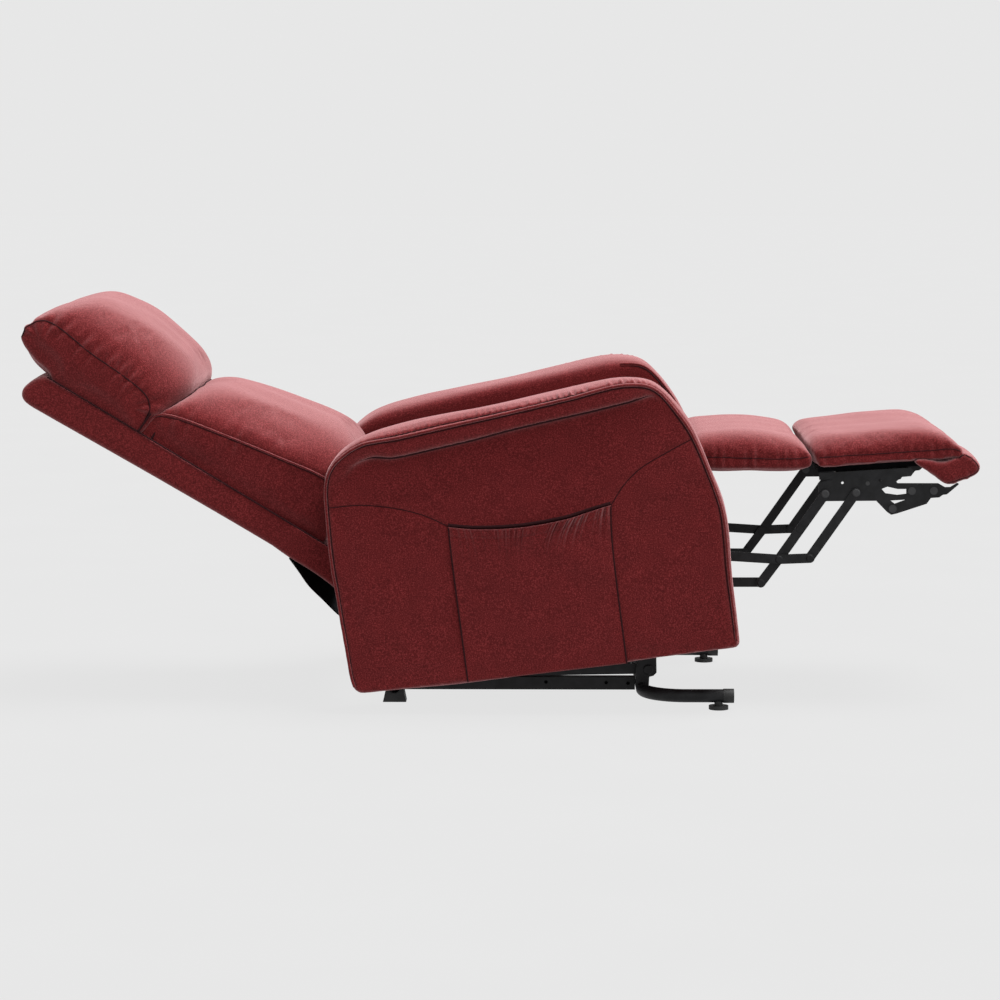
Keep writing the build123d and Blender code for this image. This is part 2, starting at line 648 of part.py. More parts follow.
# ---------------------------------------------------------------- back
BACK_BRACKET_LAYER = (224.5, 227.5)
with BuildPart() as recline_axle:
    cross_tube(chassis_plane, RECLINE_AXLE, AXLE_RADIUS, BACK_BRACKET_LAYER[1])
    discs(chassis_plane, BACK_BRACKET_LAYER[1:] + (230.5,), [RECLINE_AXLE], AXLE_RADIUS + 4)
    with BuildSketch(*pair(chassis_plane, MOTOR_EAR_LAYER)):
        for centre, radius in ((RECLINE_AXLE, 16), (RECLINE_LEVER, 11)):
            with Locations(centre):
                Circle(radius)
        make_hull()
        holes([RECLINE_AXLE], AXLE_RADIUS)
    extrude(amount=thickness(MOTOR_EAR_LAYER))
    with BuildSketch(chassis_plane(13)):
        with Locations(RECLINE_LEVER):
            Circle(5)
    extrude(amount=26)
keep(recline_axle, "recline_axle")

with BuildPart() as back_brackets:
    for bracket_y in (-BACK_BRACKET_LAYER[1], BACK_BRACKET_LAYER[0]):
        with BuildSketch(back_plane(bracket_y)):
            with Locations((0, 0)):
                Circle(18)
            with Locations((310, -18)):
                Circle(12)
            make_hull()
            holes([(0, 0)], AXLE_RADIUS)
        extrude(amount=thickness(BACK_BRACKET_LAYER))
keep(back_brackets, "back_brackets")

POST_INNER_Y = 204
POST_LAYER_OUTER = BACK_BRACKET_LAYER[0]
with BuildPart() as back_posts:
    for post_y in (-POST_LAYER_OUTER, POST_INNER_Y):
        with BuildSketch(back_plane(post_y)):
            outline([(152, -30), (738, -30), (738, -8), (152, -8)], 4)
        extrude(amount=POST_LAYER_OUTER - POST_INNER_Y)
keep(back_posts, "back_posts")

with BuildPart() as back_cross_bars:
    for bar_s in (160, 445, 715):
        slab(back_plane, POST_INNER_Y, [(bar_s, -30), (bar_s + 20, -30), (bar_s + 20, -10), (bar_s, -10)])
keep(back_cross_bars, "back_cross_bars")

SHELL_HALF_WIDTH = 244
with BuildPart() as back_shell:
    slab(back_plane, SHELL_HALF_WIDTH, [
        (150, 19), (748, 19), (766, 2), (766, -34), (755, -46), (721, -46), (178, -36), (150, -34)])
    with BuildSketch(back_plane(-232)):
        outline([(140, -31), (742, -31), (742, 25), (140, 25)])
    extrude(amount=464, mode=Mode.SUBTRACT)
keep(back_shell, "back_shell")

with BuildPart() as back_cushion:
    slab(back_plane, 243, [
        (134, 19.5), (165, 116), (195, 125), (428, 92), (528, 66), (539, 40), (539, 19.5)])
    slab(back_plane, 190, [
        (160, 100), (190, 190), (250, 200), (330, 190), (440, 158), (512, 126), (528, 64)])
keep(back_cushion, "back_cushion")

with BuildPart() as headrest_pillow:
    slab(back_plane, 247, [
        (545, 19.5), (750, 19.5), (774, 4), (798, 20), (819, 44), (826, 66), (817, 104),
        (706, 98), (600, 92), (559, 82), (545, 56)])
    slab(back_plane, 192, [
        (545, 56), (556, 140), (596, 172), (645, 186), (745, 180), (800, 148), (820, 118), (824, 80)])
keep(headrest_pillow, "headrest_pillow")

# ---------------------------------------------------------------- footrest and its linkage
elbow_c = (700, 158)
elbow_c2 = (729.6, 146)
with BuildPart() as links_c:
    bar_link(chassis_plane, LINK_C_LAYER, [PIVOT_C, elbow_c, elbow_c2, PIVOT_R1, PIVOT_R2],
             [PIVOT_C], HOLE_RADIUS)
    rivet(chassis_plane, [PIVOT_R1, PIVOT_R2], (232.8, 234.2), (242.5, 244.5))
keep(links_c, "footrest_links_outer")

elbow_d = (elbow_c[0] + PIVOT_D[0] - PIVOT_C[0], 112)
elbow_d2 = (700, 98)
with BuildPart() as links_d:
    bar_link(chassis_plane, LINK_D_LAYER, [PIVOT_D, elbow_d, elbow_d2, PIVOT_R0],
             [PIVOT_D], HOLE_RADIUS)
    rivet(chassis_plane, [PIVOT_R0], (223, 224.5), (237.8, 239.2))
    discs(chassis_plane, (227.5, 234.2), [PIVOT_R0], PIN_RADIUS + 2)
keep(links_d, "footrest_links_inner")

with BuildPart() as links_a:
    bar_link(chassis_plane, LINK_AB_LAYER, [PIVOT_R0, PIVOT_R1, PIVOT_E1], [PIVOT_R1, PIVOT_E1],
             HOLE_RADIUS)
    with BuildSketch(*pair(chassis_plane, LINK_AB_LAYER)):
        with Locations(PIVOT_R0):
            Circle(PIN_RADIUS + 1)
    extrude(amount=thickness(LINK_AB_LAYER), mode=Mode.SUBTRACT)
    discs(chassis_plane, (LINK_AB_LAYER[1], 238.9), [(867, 180)], HEAD_RADIUS - 1)
keep(links_a, "footrest_links_rear")

with BuildPart() as links_b:
    bar_link(chassis_plane, LINK_AB_LAYER, [PIVOT_R2, PIVOT_E2], [PIVOT_R2, PIVOT_E2], HOLE_RADIUS)
keep(links_b, "footrest_links_front")

with BuildPart() as footrest_brackets:
    with BuildSketch(*pair(chassis_plane, BRACKET_LAYER)):
        outline([
            (911, 262), (910, 234), (918, 226), (1016, 214), (1034, 190), (1041, 184), (1052, 185),
            (1110, 196), (1119, 206), (1135, 205), (1142, 209), (1150, 209), (1176, 226), (1171, 228),
            (1158, 222), (1148, 223), (1136, 232), (1060, 242), (1050, 262), (960, 268)], 1.5)
        holes([PIVOT_E1, PIVOT_E2], HOLE_RADIUS)
        holes([(957, 256), (1027, 252)], 2.5)
    extrude(amount=thickness(BRACKET_LAYER))
    for window in (
        [(1029, 235), (1040, 238), (1059, 231), (1075, 229), (1074, 220), (1057, 220), (1035, 226)],
        [(1043, 211), (1072, 209), (1050, 204)],
    ):
        with BuildSketch(*pair(chassis_plane, BRACKET_LAYER)):
            outline(window)
        extrude(amount=thickness(BRACKET_LAYER), mode=Mode.SUBTRACT)
    with BuildSketch(*pair(footrest_plane, BRACKET_LAYER)):
        outline([
            (8, -10.3), (8, -23), (54, -23), (118, -25), (152, -36), (162, -27), (181, -26.5),
            (188, -18), (181, -10.3)])
    extrude(amount=thickness(BRACKET_LAYER))
    for flange_y in (-205, BRACKET_LAYER[1]):
        with BuildSketch(footrest_plane(flange_y)):
            outline([(40, -13), (178, -13), (178, -10.3), (40, -10.3)])
        extrude(amount=BRACKET_LAYER[1] - 205)
keep(footrest_brackets, "footrest_brackets")

with BuildPart() as footrest_pins:
    rivet(chassis_plane, [PIVOT_E1, PIVOT_E2], (228, 229.5), (237.8, 239.2))
    discs(chassis_plane, (232.5, 234.2), [(1045, 195), (1085, 224), (1126, 219)], HEAD_RADIUS)
    discs(chassis_plane, (232.5, 233.5), [(1004, 249)], 4)
keep(footrest_pins, "footrest_pins")

with BuildPart() as footrest_board:
    slab(footrest_plane, 212, [(8, -10), (218, -10), (218, 0), (8, 0)])
keep(footrest_board, "footrest_board")

with BuildPart() as foot_pad:
    slab(footrest_plane, SEAT_HALF_WIDTH, [
        (6, 0.3), (6, 14), (18, 40), (60, 58), (190, 58), (245, 46), (270, 18), (270, 0.3)])
keep(foot_pad, "foot_pad")

with BuildPart() as footrest_roll:
    slab(chassis_plane, SEAT_HALF_WIDTH, [
        (1140, 239), (1152, 229), (1206, 238), (1219.3, 252), (1214, 270), (1197, 284), (1184, 280),
        (1180, 266), (1140, 259)], 3)
keep(footrest_roll, "footrest_roll")
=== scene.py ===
import json
import math

import bpy
import numpy as np
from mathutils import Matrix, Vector
from mathutils.bvhtree import BVHTree


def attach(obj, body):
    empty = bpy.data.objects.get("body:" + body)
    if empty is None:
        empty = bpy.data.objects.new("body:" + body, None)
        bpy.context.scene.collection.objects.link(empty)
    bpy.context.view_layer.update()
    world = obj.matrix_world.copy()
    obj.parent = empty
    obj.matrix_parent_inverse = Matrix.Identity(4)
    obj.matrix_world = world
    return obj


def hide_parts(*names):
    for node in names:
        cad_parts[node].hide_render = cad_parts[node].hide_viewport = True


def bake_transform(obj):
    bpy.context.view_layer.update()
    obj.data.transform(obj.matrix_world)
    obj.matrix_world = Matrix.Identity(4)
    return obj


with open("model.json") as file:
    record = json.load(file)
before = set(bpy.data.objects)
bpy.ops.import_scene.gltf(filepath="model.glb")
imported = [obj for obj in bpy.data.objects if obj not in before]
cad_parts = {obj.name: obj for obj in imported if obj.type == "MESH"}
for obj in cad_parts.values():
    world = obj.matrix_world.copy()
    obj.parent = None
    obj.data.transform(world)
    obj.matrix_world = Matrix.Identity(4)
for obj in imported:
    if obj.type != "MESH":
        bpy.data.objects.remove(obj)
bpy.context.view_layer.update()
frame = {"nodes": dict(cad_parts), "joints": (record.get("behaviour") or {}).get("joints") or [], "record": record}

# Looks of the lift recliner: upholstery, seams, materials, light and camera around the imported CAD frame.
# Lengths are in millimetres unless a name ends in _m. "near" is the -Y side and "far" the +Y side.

MM = 0.001
NEAR, FAR = -1, 1
SIDES = ((NEAR, "near"), (FAR, "far"))
CORD_STEP_M = 6 * MM


# ---------------------------------------------------------------- the chair's slanted frames
class Slant:
    """A slanted frame: a and b run along its two axes in the middle plane, y across the chair."""

    def __init__(self, origin, degrees, handed=1):
        turn = math.radians(degrees)
        self.origin = np.array(origin, float)
        self.a_axis = np.array([math.cos(turn), math.sin(turn)])
        self.b_axis = handed * np.array([-math.sin(turn), math.cos(turn)])

    def place(self, a, y, b):
        """Points of the row frame, in metres."""
        a, y, b = np.broadcast_arrays(*(np.asarray(value, float) for value in (a, y, b)))
        flat = self.origin + a[..., None] * self.a_axis + b[..., None] * self.b_axis
        return np.stack([flat[..., 0], y, flat[..., 1]], -1) * MM

    def read(self, points):
        """a, y and b of points of the row frame."""
        flat = points[..., [0, 2]] / MM - self.origin
        return flat @ self.a_axis, points[..., 1] / MM, flat @ self.b_axis


CHASSIS_TILT = 7.49
BACK_ANGLE = 141.3
FOOTREST_ANGLE = -4
RECLINE_AXLE = np.array([65, 170])
FOOTREST_CORNER = (908, 291)

axle_place = next(joint["pos_m"] for joint in frame["joints"] if joint["name"] == "recline")
axle = np.array([axle_place[0], axle_place[2]]) / MM
level = Slant((0, 0), CHASSIS_TILT)
chassis = Slant(axle - RECLINE_AXLE[0] * level.a_axis - RECLINE_AXLE[1] * level.b_axis, CHASSIS_TILT)
back = Slant(axle, CHASSIS_TILT + BACK_ANGLE, -1)
corner = chassis.place(FOOTREST_CORNER[0], 0, FOOTREST_CORNER[1]) / MM
footrest = Slant(corner[[0, 2]], CHASSIS_TILT + FOOTREST_ANGLE)

ARM_PANEL_Y = 360
ARM_ROLL_Y = 384.5


# ---------------------------------------------------------------- lines
def smooth_path(points, steps, closed=False):
    """A smooth line through the points, with so many steps between each point and the next."""
    p = np.array(points, float)
    ends = (p[-1:], p[:2]) if closed else (2 * p[:1] - p[1:2], 2 * p[-1:] - p[-2:-1])
    p = np.vstack([ends[0], p, ends[1]])
    spans = np.linalg.norm(np.diff(p, axis=0), axis=1)
    slopes = (p[2:] - p[:-2]) / (spans[1:] + spans[:-1])[:, None]
    line = []
    t = np.linspace(0, 1, steps, endpoint=False)[:, None]
    for i in range(1, len(p) - 2):
        line.append((2 * t**3 - 3 * t**2 + 1) * p[i] + (3 * t**2 - 2 * t**3) * p[i + 1]
                    + (t**3 - 2 * t**2 + t) * spans[i] * slopes[i - 1]
                    + (t**3 - t**2) * spans[i] * slopes[i])
    if not closed:
        line.append(p[-2:-1])
    return np.vstack(line)


def smooth_rings(rings, steps):
    """More rings between the given ones, on smooth lines."""
    rings = np.asarray(rings)
    lines = [smooth_path(rings[:, k], steps) for k in range(rings.shape[1])]
    return np.stack(lines, 1)


def walked_along(line):
    return np.concatenate([[0], np.cumsum(np.linalg.norm(np.diff(line, axis=0), axis=1))])


def evenly(line):
    """The same line, its points CORD_STEP_M apart."""
    walked = walked_along(line)
    marks = np.linspace(0, walked[-1], max(2, int(walked[-1] / CORD_STEP_M) + 1))
    return np.stack([np.interp(marks, walked, column) for column in line.T], 1)


def near_line(points, line):
    """How far each point is from a line, and how far along the line its nearest place is, both in mm."""
    gap = np.full(len(points), 1e3)
    where = np.zeros(len(points))
    margin = 60 * MM
    close = np.all((points > line.min(0) - margin) & (points < line.max(0) + margin), 1).nonzero()[0]
    some = points[close]
    walked = walked_along(line) / MM
    best, at = np.full(len(some), 1e3), np.zeros(len(some))
    for start, end, begun in zip(line[:-1], line[1:], walked):
        run = end - start
        length = np.linalg.norm(run)
        t = np.clip((some - start) @ run / length**2, 0, 1)
        d = np.linalg.norm(some - start - t[:, None] * run, axis=1) / MM
        nearer = d < best
        best[nearer] = d[nearer]
        at[nearer] = begun + t[nearer] * length / MM
    gap[close], where[close] = best, at
    return gap, where


def waves(seed, count, shortest, longest, size=3):
    """A seeded sum of waves over points in mm, mostly between -1 and 1."""
    rng = np.random.default_rng(seed)
    ways = rng.normal(size=(count, size))
    ways *= (2 * math.pi / rng.uniform(shortest, longest, count) / np.linalg.norm(ways, axis=1))[:, None]
    phases = rng.uniform(0, 2 * math.pi, count)

    def field(points):
        return np.sin(points @ ways.T + phases).sum(1) / math.sqrt(count)
    return field


def bump(x, centre, width):
    return np.exp(-((x - centre) / width) ** 2)


def rise(x, start, end):
    """0 before start, 1 after end, smooth between."""
    t = np.clip((x - start) / (end - start), 0, 1)
    return t * t * (3 - 2 * t)


# ---------------------------------------------------------------- meshes
def new_piece(name, points, faces):
    mesh = bpy.data.meshes.new(name)
    mesh.from_pydata(np.asarray(points).tolist(), [], faces)
    mesh.validate()
    piece = bpy.data.objects.new(name, mesh)
    bpy.context.scene.collection.objects.link(piece)
    return piece


def skin(name, rings, caps=True, loop=True):
    """A mesh over rings of equally many points; loop joins each ring's ends and caps close both ends."""
    rings = np.asarray(rings)
    count, around = rings.shape[:2]
    faces = []
    for r in range(count - 1):
        for k in range(around if loop else around - 1):
            n = (k + 1) % around
            faces.append((r * around + k, r * around + n, (r + 1) * around + n, (r + 1) * around + k))
    if caps:
        faces.append(tuple(range(around))[::-1])
        faces.append(tuple(range((count - 1) * around, count * around)))
    return new_piece(name, rings.reshape(-1, 3), faces)


def bake(piece):
    """Puts the modifiers' result in the piece's mesh."""
    graph = bpy.context.evaluated_depsgraph_get()
    mesh = bpy.data.meshes.new_from_object(piece.evaluated_get(graph))
    piece.modifiers.clear()
    piece.data = mesh
    mesh.shade_smooth()


def modify(piece, kind, **settings):
    modifier = piece.modifiers.new(kind.title(), kind)
    for name, value in settings.items():
        setattr(modifier, name, value)
    bake(piece)


def remesh(piece, size):
    modify(piece, "REMESH", mode="VOXEL", voxel_size=size * MM)


def relax(piece, rounds):
    modify(piece, "SMOOTH", factor=0.5, iterations=rounds)


def refine(piece):
    modify(piece, "SUBSURF", levels=1, render_levels=1)


def points_of(piece):
    flat = np.empty(len(piece.data.vertices) * 3, np.float32)
    piece.data.vertices.foreach_get("co", flat)
    return flat.reshape(-1, 3).astype(float)


def normals_of(piece):
    flat = np.empty(len(piece.data.vertices) * 3, np.float32)
    piece.data.vertex_normals.foreach_get("vector", flat)
    return flat.reshape(-1, 3).astype(float)


def move_to(piece, points):
    piece.data.vertices.foreach_set("co", points.astype(np.float32).ravel())
    piece.data.update()


def push(piece, distance):
    """Moves each point along its normal."""
    move_to(piece, points_of(piece) + normals_of(piece) * (distance * MM)[:, None])


CLOTH_FRAMES = 20


def inflate(piece, pressure, cap):
    """Cloth under pressure swells the piece, by no more than the cap."""
    before = points_of(piece)
    modifier = piece.modifiers.new("Swell", "CLOTH")
    modifier.settings.quality = 4
    modifier.settings.use_pressure = True
    modifier.settings.uniform_pressure_force = pressure
    modifier.settings.effector_weights.gravity = 0
    modifier.point_cache.frame_end = CLOTH_FRAMES
    for number in range(1, CLOTH_FRAMES + 1):
        bpy.context.scene.frame_set(number)
    bake(piece)
    bpy.context.scene.frame_set(1)
    shift = points_of(piece) - before
    length = np.linalg.norm(shift, axis=1, keepdims=True)
    move_to(piece, before + shift * np.minimum(1, cap * MM / np.maximum(length, 1e-9)))


def keep_within(piece, slant, low=(-1e4, -1e4, -1e4), high=(1e4, 1e4, 1e4)):
    """Flattens what goes past a limit of a, y or b."""
    a, y, b = (np.clip(value, lo, hi) for value, lo, hi in zip(slant.read(points_of(piece)), low, high))
    move_to(piece, slant.place(a, y, b))


def pillow(name, slant, edge, centre, half_width, fullness, steps=8, stations=33):
    """A closed form whose outline goes from edge, at both sides, to centre, in the middle plane."""
    edge_line = smooth_path(edge, steps, True)
    centre_line = smooth_path(centre, steps, True)
    rings = []
    for angle in np.linspace(-90, 90, stations):
        t = math.sin(math.radians(angle))
        weight = max(0, 1 - abs(t) ** fullness[0]) ** fullness[1]
        line = edge_line * (1 - weight) + centre_line * weight
        rings.append(slant.place(line[:, 0], t * half_width, line[:, 1]))
    return skin(name, rings)


def tube(name, line, radius, taper=0.0):
    """A round cord of fabric along a line, such as piping or a seam; it can thin out over its last mm."""
    walked = walked_along(line) / MM
    from_end = np.minimum(walked, walked[-1] - walked)
    curve = bpy.data.curves.new(name, "CURVE")
    curve.dimensions = "3D"
    curve.bevel_depth = radius * MM
    curve.bevel_resolution = 3
    curve.use_fill_caps = True
    spline = curve.splines.new("POLY")
    spline.points.add(len(line) - 1)
    for point, place, distance in zip(spline.points, line, from_end):
        point.co = (*place, 1)
        point.radius = 0.15 + 0.85 * rise(distance, 0, taper) if taper else 1
    maker = bpy.data.objects.new(name, curve)
    bpy.context.scene.collection.objects.link(maker)
    mesh = bpy.data.meshes.new_from_object(maker.evaluated_get(bpy.context.evaluated_depsgraph_get()))
    bpy.data.objects.remove(maker)
    piece = bpy.data.objects.new(name, mesh)
    bpy.context.scene.collection.objects.link(piece)
    mesh.shade_smooth()
    return piece


def settle(line, piece, lift):
    """The line laid on the piece's surface, so far above it."""
    tree = BVHTree.FromObject(piece, bpy.context.evaluated_depsgraph_get())
    laid = []
    for point in line:
        place, normal, _, _ = tree.find_nearest(Vector(point))
        laid.append(np.array(place + normal * lift * MM))
    laid = np.array(laid)
    laid[1:-1] = (laid[:-2] + 2 * laid[1:-1] + laid[2:]) / 4
    return laid


def groove(piece, line, depth, width):
    gap, _ = near_line(points_of(piece), line)
    push(piece, -depth * bump(gap, 0, width))


def gather(piece, line, height, reach, pitch, seed, side, strength=None):
    """Small folds that run away from a seam, on the side of it where side(points) is true."""
    points = points_of(piece)
    gap, walked = near_line(points, line)
    ripple = waves(seed, 5, pitch * 0.75, pitch * 1.9, 1)(walked[:, None])
    share = bump(gap, reach * 0.35, reach * 0.5) * side(points)
    if strength is not None:
        share *= strength(walked)
    push(piece, height * share * ripple)


# ---------------------------------------------------------------- materials
def ramp(nodes, stops):
    node = nodes.new("ShaderNodeValToRGB")
    elements = node.color_ramp.elements
    while len(elements) < len(stops):
        elements.new(0.5)
    for element, (place, colour) in zip(elements, stops):
        element.position = place
        element.color = (*colour, 1)
    return node


def new_material(name, **sockets):
    material = bpy.data.materials.new(name)
    material.use_nodes = True
    shader = material.node_tree.nodes["Principled BSDF"]
    for socket, value in sockets.items():
        shader.inputs[socket.replace("_", " ")].default_value = value
    return material, material.node_tree.nodes, material.node_tree.links, shader


def noise(nodes, links, place, scale, detail=2.0, roughness=0.5):
    node = nodes.new("ShaderNodeTexNoise")
    node.inputs["Scale"].default_value = scale
    node.inputs["Detail"].default_value = detail
    node.inputs["Roughness"].default_value = roughness
    links.new(place, node.inputs["Vector"])
    return node.outputs["Fac"]


def blend_colours(nodes, links, kind, factor, first, second):
    node = nodes.new("ShaderNodeMix")
    node.data_type = "RGBA"
    node.blend_type = kind
    node.inputs[0].default_value = factor
    links.new(first, node.inputs[6])
    links.new(second, node.inputs[7])
    return node.outputs[2]


WAVE_BANDS = 3.18  # bands per unit of length in a wave texture of scale 1


def weave(nodes, links, place, pitch):
    """Height of a plain weave: threads along each axis, one over the other."""
    total = None
    for axis in ("X", "Y", "Z"):
        wave = nodes.new("ShaderNodeTexWave")
        wave.bands_direction = axis
        wave.inputs["Scale"].default_value = 1 / (pitch * MM) / WAVE_BANDS
        wave.inputs["Distortion"].default_value = 1.6
        wave.inputs["Detail"].default_value = 1.0
        links.new(place, wave.inputs["Vector"])
        if total is None:
            total = wave.outputs["Fac"]
            continue
        add = nodes.new("ShaderNodeMath")
        add.operation = "ADD"
        links.new(total, add.inputs[0])
        links.new(wave.outputs["Fac"], add.inputs[1])
        total = add.outputs[0]
    return total


def add_bump(nodes, links, shader, height, strength, distance):
    node = nodes.new("ShaderNodeBump")
    node.inputs["Strength"].default_value = strength
    node.inputs["Distance"].default_value = distance * MM
    links.new(height, node.inputs["Height"])
    links.new(node.outputs["Normal"], shader.inputs["Normal"])


def fabric(name, dark, middle, light, painted_sheen_dark, painted_sheen_light, sheen):
    """Heathered woven upholstery: mixed threads, a fine weave and a painted sheen, a paler base colour where the
    surface is seen edge-on.
    """
    material, nodes, links, shader = new_material(
        name, Roughness=0.95, Specular_IOR_Level=0.15, Sheen_Weight=sheen, Sheen_Roughness=0.35,
        Sheen_Tint=(1.0, 0.62, 0.63, 1))
    place = nodes.new("ShaderNodeTexCoord").outputs["Object"]
    threads = ramp(nodes, ((0.33, dark), (0.5, middle), (0.70, light)))
    grain = noise(nodes, links, place, 420, 4, 0.75)
    links.new(grain, threads.inputs["Fac"])
    patches = ramp(nodes, ((0.3, (0.86, 0.86, 0.86)), (0.7, (1, 1, 1))))
    links.new(noise(nodes, links, place, 28, 3), patches.inputs["Fac"])
    colour = blend_colours(
        nodes, links, "MULTIPLY", 1.0, threads.outputs["Color"], patches.outputs["Color"])
    # Painted sheen: the base colour turns paler and pinker where the surface is seen edge-on, standing in for the
    # light that the fabric's sheen catches.
    painted_sheen = nodes.new("ShaderNodeMix")
    painted_sheen.data_type = "RGBA"
    edge_on = nodes.new("ShaderNodeLayerWeight")
    edge_on.inputs["Blend"].default_value = 0.5
    strength = nodes.new("ShaderNodeMath")
    strength.operation = "POWER"
    strength.inputs[1].default_value = 1.2
    links.new(edge_on.outputs["Facing"], strength.inputs[0])
    links.new(strength.outputs[0], painted_sheen.inputs[0])
    links.new(colour, painted_sheen.inputs[6])
    painted_sheen_threads = ramp(nodes, ((0.33, painted_sheen_dark), (0.70, painted_sheen_light)))
    links.new(grain, painted_sheen_threads.inputs["Fac"])
    links.new(painted_sheen_threads.outputs["Color"], painted_sheen.inputs[7])
    links.new(painted_sheen.outputs[2], shader.inputs["Base Color"])
    height = nodes.new("ShaderNodeMath")
    height.operation = "MULTIPLY_ADD"
    height.inputs[1].default_value = 0.35
    links.new(weave(nodes, links, place, 1.5), height.inputs[0])
    links.new(noise(nodes, links, place, 420, 4, 0.7), height.inputs[2])
    add_bump(nodes, links, shader, height.outputs[0], 0.5, 0.8)
    return material


def speckled(name, dark, light, scale, bump_height, **sockets):
    """A finish that varies a little in colour and height: powder coat, moulded plastic, plating, cloth."""
    material, nodes, links, shader = new_material(name, **sockets)
    place = nodes.new("ShaderNodeTexCoord").outputs["Object"]
    colours = ramp(nodes, ((0.35, dark), (0.65, light)))
    grain = noise(nodes, links, place, scale, 4)
    links.new(noise(nodes, links, place, scale / 12, 5), colours.inputs["Fac"])
    links.new(colours.outputs["Color"], shader.inputs["Base Color"])
    add_bump(nodes, links, shader, grain, 0.4, bump_height)
    return material


def plywood_material():
    material, nodes, links, shader = new_material("plywood", Roughness=0.75)
    place = nodes.new("ShaderNodeTexCoord").outputs["Object"]
    stretch = nodes.new("ShaderNodeMapping")
    stretch.inputs["Scale"].default_value = (4, 60, 60)
    links.new(place, stretch.inputs["Vector"])
    grain = ramp(nodes, ((0.3, (0.36, 0.22, 0.11)), (0.7, (0.60, 0.42, 0.25))))
    links.new(noise(nodes, links, stretch.outputs["Vector"], 2, 6), grain.inputs["Fac"])
    links.new(grain.outputs["Color"], shader.inputs["Base Color"])
    return material


FABRIC_DARK = (0.056, 0.0042, 0.0046)
FABRIC_MIDDLE = (0.102, 0.0080, 0.0088)
FABRIC_LIGHT = (0.225, 0.029, 0.031)
# painted sheen: the paler colours the fabric turns where it is seen edge-on
PAINTED_SHEEN_DARK = (0.15, 0.050, 0.052)
PAINTED_SHEEN_LIGHT = (0.335, 0.155, 0.159)
BURGUNDY = fabric("burgundy_fabric", FABRIC_DARK, FABRIC_MIDDLE, FABRIC_LIGHT, PAINTED_SHEEN_DARK, PAINTED_SHEEN_LIGHT, 0.3)
# Painted shade: a near-black burgundy for the dark cords laid along seams, creases, the pocket mouths and the
# cushion valley, where shade falls in the grooves.
SEAM_SHADE_DARK = (0.012, 0.002, 0.003)
SEAM_SHADE_MIDDLE = (0.022, 0.004, 0.005)
SEAM_SHADE_LIGHT = (0.04, 0.008, 0.010)
SEAM_SHADE = fabric("burgundy_painted_seam_shade", SEAM_SHADE_DARK, SEAM_SHADE_MIDDLE, SEAM_SHADE_LIGHT, SEAM_SHADE_DARK, SEAM_SHADE_LIGHT, 0.0)
FINISHES = {
    "black_cloth": speckled("black_cloth", (0.003, 0.003, 0.0035), (0.006, 0.006, 0.007), 900, 0.3,
                            Roughness=1.0, Specular_IOR_Level=0.05),
    "black_steel": speckled("black_steel", (0.0045, 0.0045, 0.005), (0.010, 0.010, 0.011), 700, 0.12,
                            Roughness=0.5, Specular_IOR_Level=0.2),
    "blackened_steel": speckled("blackened_steel", (0.012, 0.012, 0.013), (0.022, 0.022, 0.023), 500, 0.10,
                                Roughness=0.45, Specular_IOR_Level=0.4),
    "plated_steel": speckled("plated_steel", (0.42, 0.42, 0.43), (0.60, 0.60, 0.61), 300, 0.05,
                             Roughness=0.32, Metallic=0.95),
    "black_plastic": speckled("black_plastic", (0.010, 0.010, 0.010), (0.018, 0.018, 0.018), 500, 0.10,
                              Roughness=0.6, Specular_IOR_Level=0.3),
    "handset_plastic": speckled("handset_plastic", (0.016, 0.016, 0.018), (0.026, 0.026, 0.029), 600, 0.08,
                                Roughness=0.5, Specular_IOR_Level=0.4),
    "button_plastic": speckled("button_plastic", (0.30, 0.31, 0.33), (0.40, 0.41, 0.43), 400, 0.05,
                               Roughness=0.4),
    "plywood": plywood_material(),
    "burgundy_fabric": BURGUNDY,
}


def finish_piece(piece, body, slot="burgundy_fabric", material=None, replaces=()):
    piece.data.materials.clear()
    piece.data.materials.append(material or FINISHES[slot])
    if body:
        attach(piece, body)
    if replaces:
        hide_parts(*replaces)
    return piece


def trim(name, line, radius, body, dark=False, taper=0.0):
    """Piping, or with dark a near-black cord that paints the shade along a seam, crease or gap."""
    return finish_piece(tube(name, line, radius, taper), body, material=SEAM_SHADE if dark else BURGUNDY)


# ---------------------------------------------------------------- arms
# Each point of an arm's outline: u, v, how far the piping lies inside it, how much the padded roll
# overhangs the side panel there, and how tall the roll is below the piping.
ARM_OUTLINE = [
    (-4, 6, 2, 0, 35), (-8, 60, 1, 0, 35), (-11, 146, 1, 0, 35), (-13, 230, 1, 0, 35),
    (-12, 300, 1, 0, 35), (-10, 355, 1, 0, 35), (-8, 382, 2, 0.05, 35), (-3, 406, 4, 0.2, 35),
    (9, 427, 6, 0.35, 35), (30, 447, 9, 0.55, 35), (63, 465, 11, 0.8, 35), (100, 475, 15, 0.95, 35),
    (140, 480, 18, 1, 35),
    (204, 487, 19, 1, 35), (332, 498, 18, 1, 35), (459, 508, 15, 1, 35), (544, 515, 11, 1, 35),
    (577, 514, 10, 0.9, 31), (606, 508, 9, 0.65, 22), (626, 498, 9, 0.4, 12), (644, 479, 8, 0.2, 8),
    (665, 446, 7, 0.05, 6), (688, 399, 6, 0, 6), (713, 317, 6, 0, 6), (727, 253, 6, 0, 6),
    (727, 195, 6, 0, 6), (725, 137, 6, 0, 6), (722, 0, 5, 0, 6), (715, -10.5, 3, 0, 6),
    (507, -13.5, 2, 0, 20), (380, -14, 2, 0, 35), (212, -11, 2, 0, 35), (12, -8, 2, 0, 35),
]
ARM_CORE = ((130, 120), (600, 390))
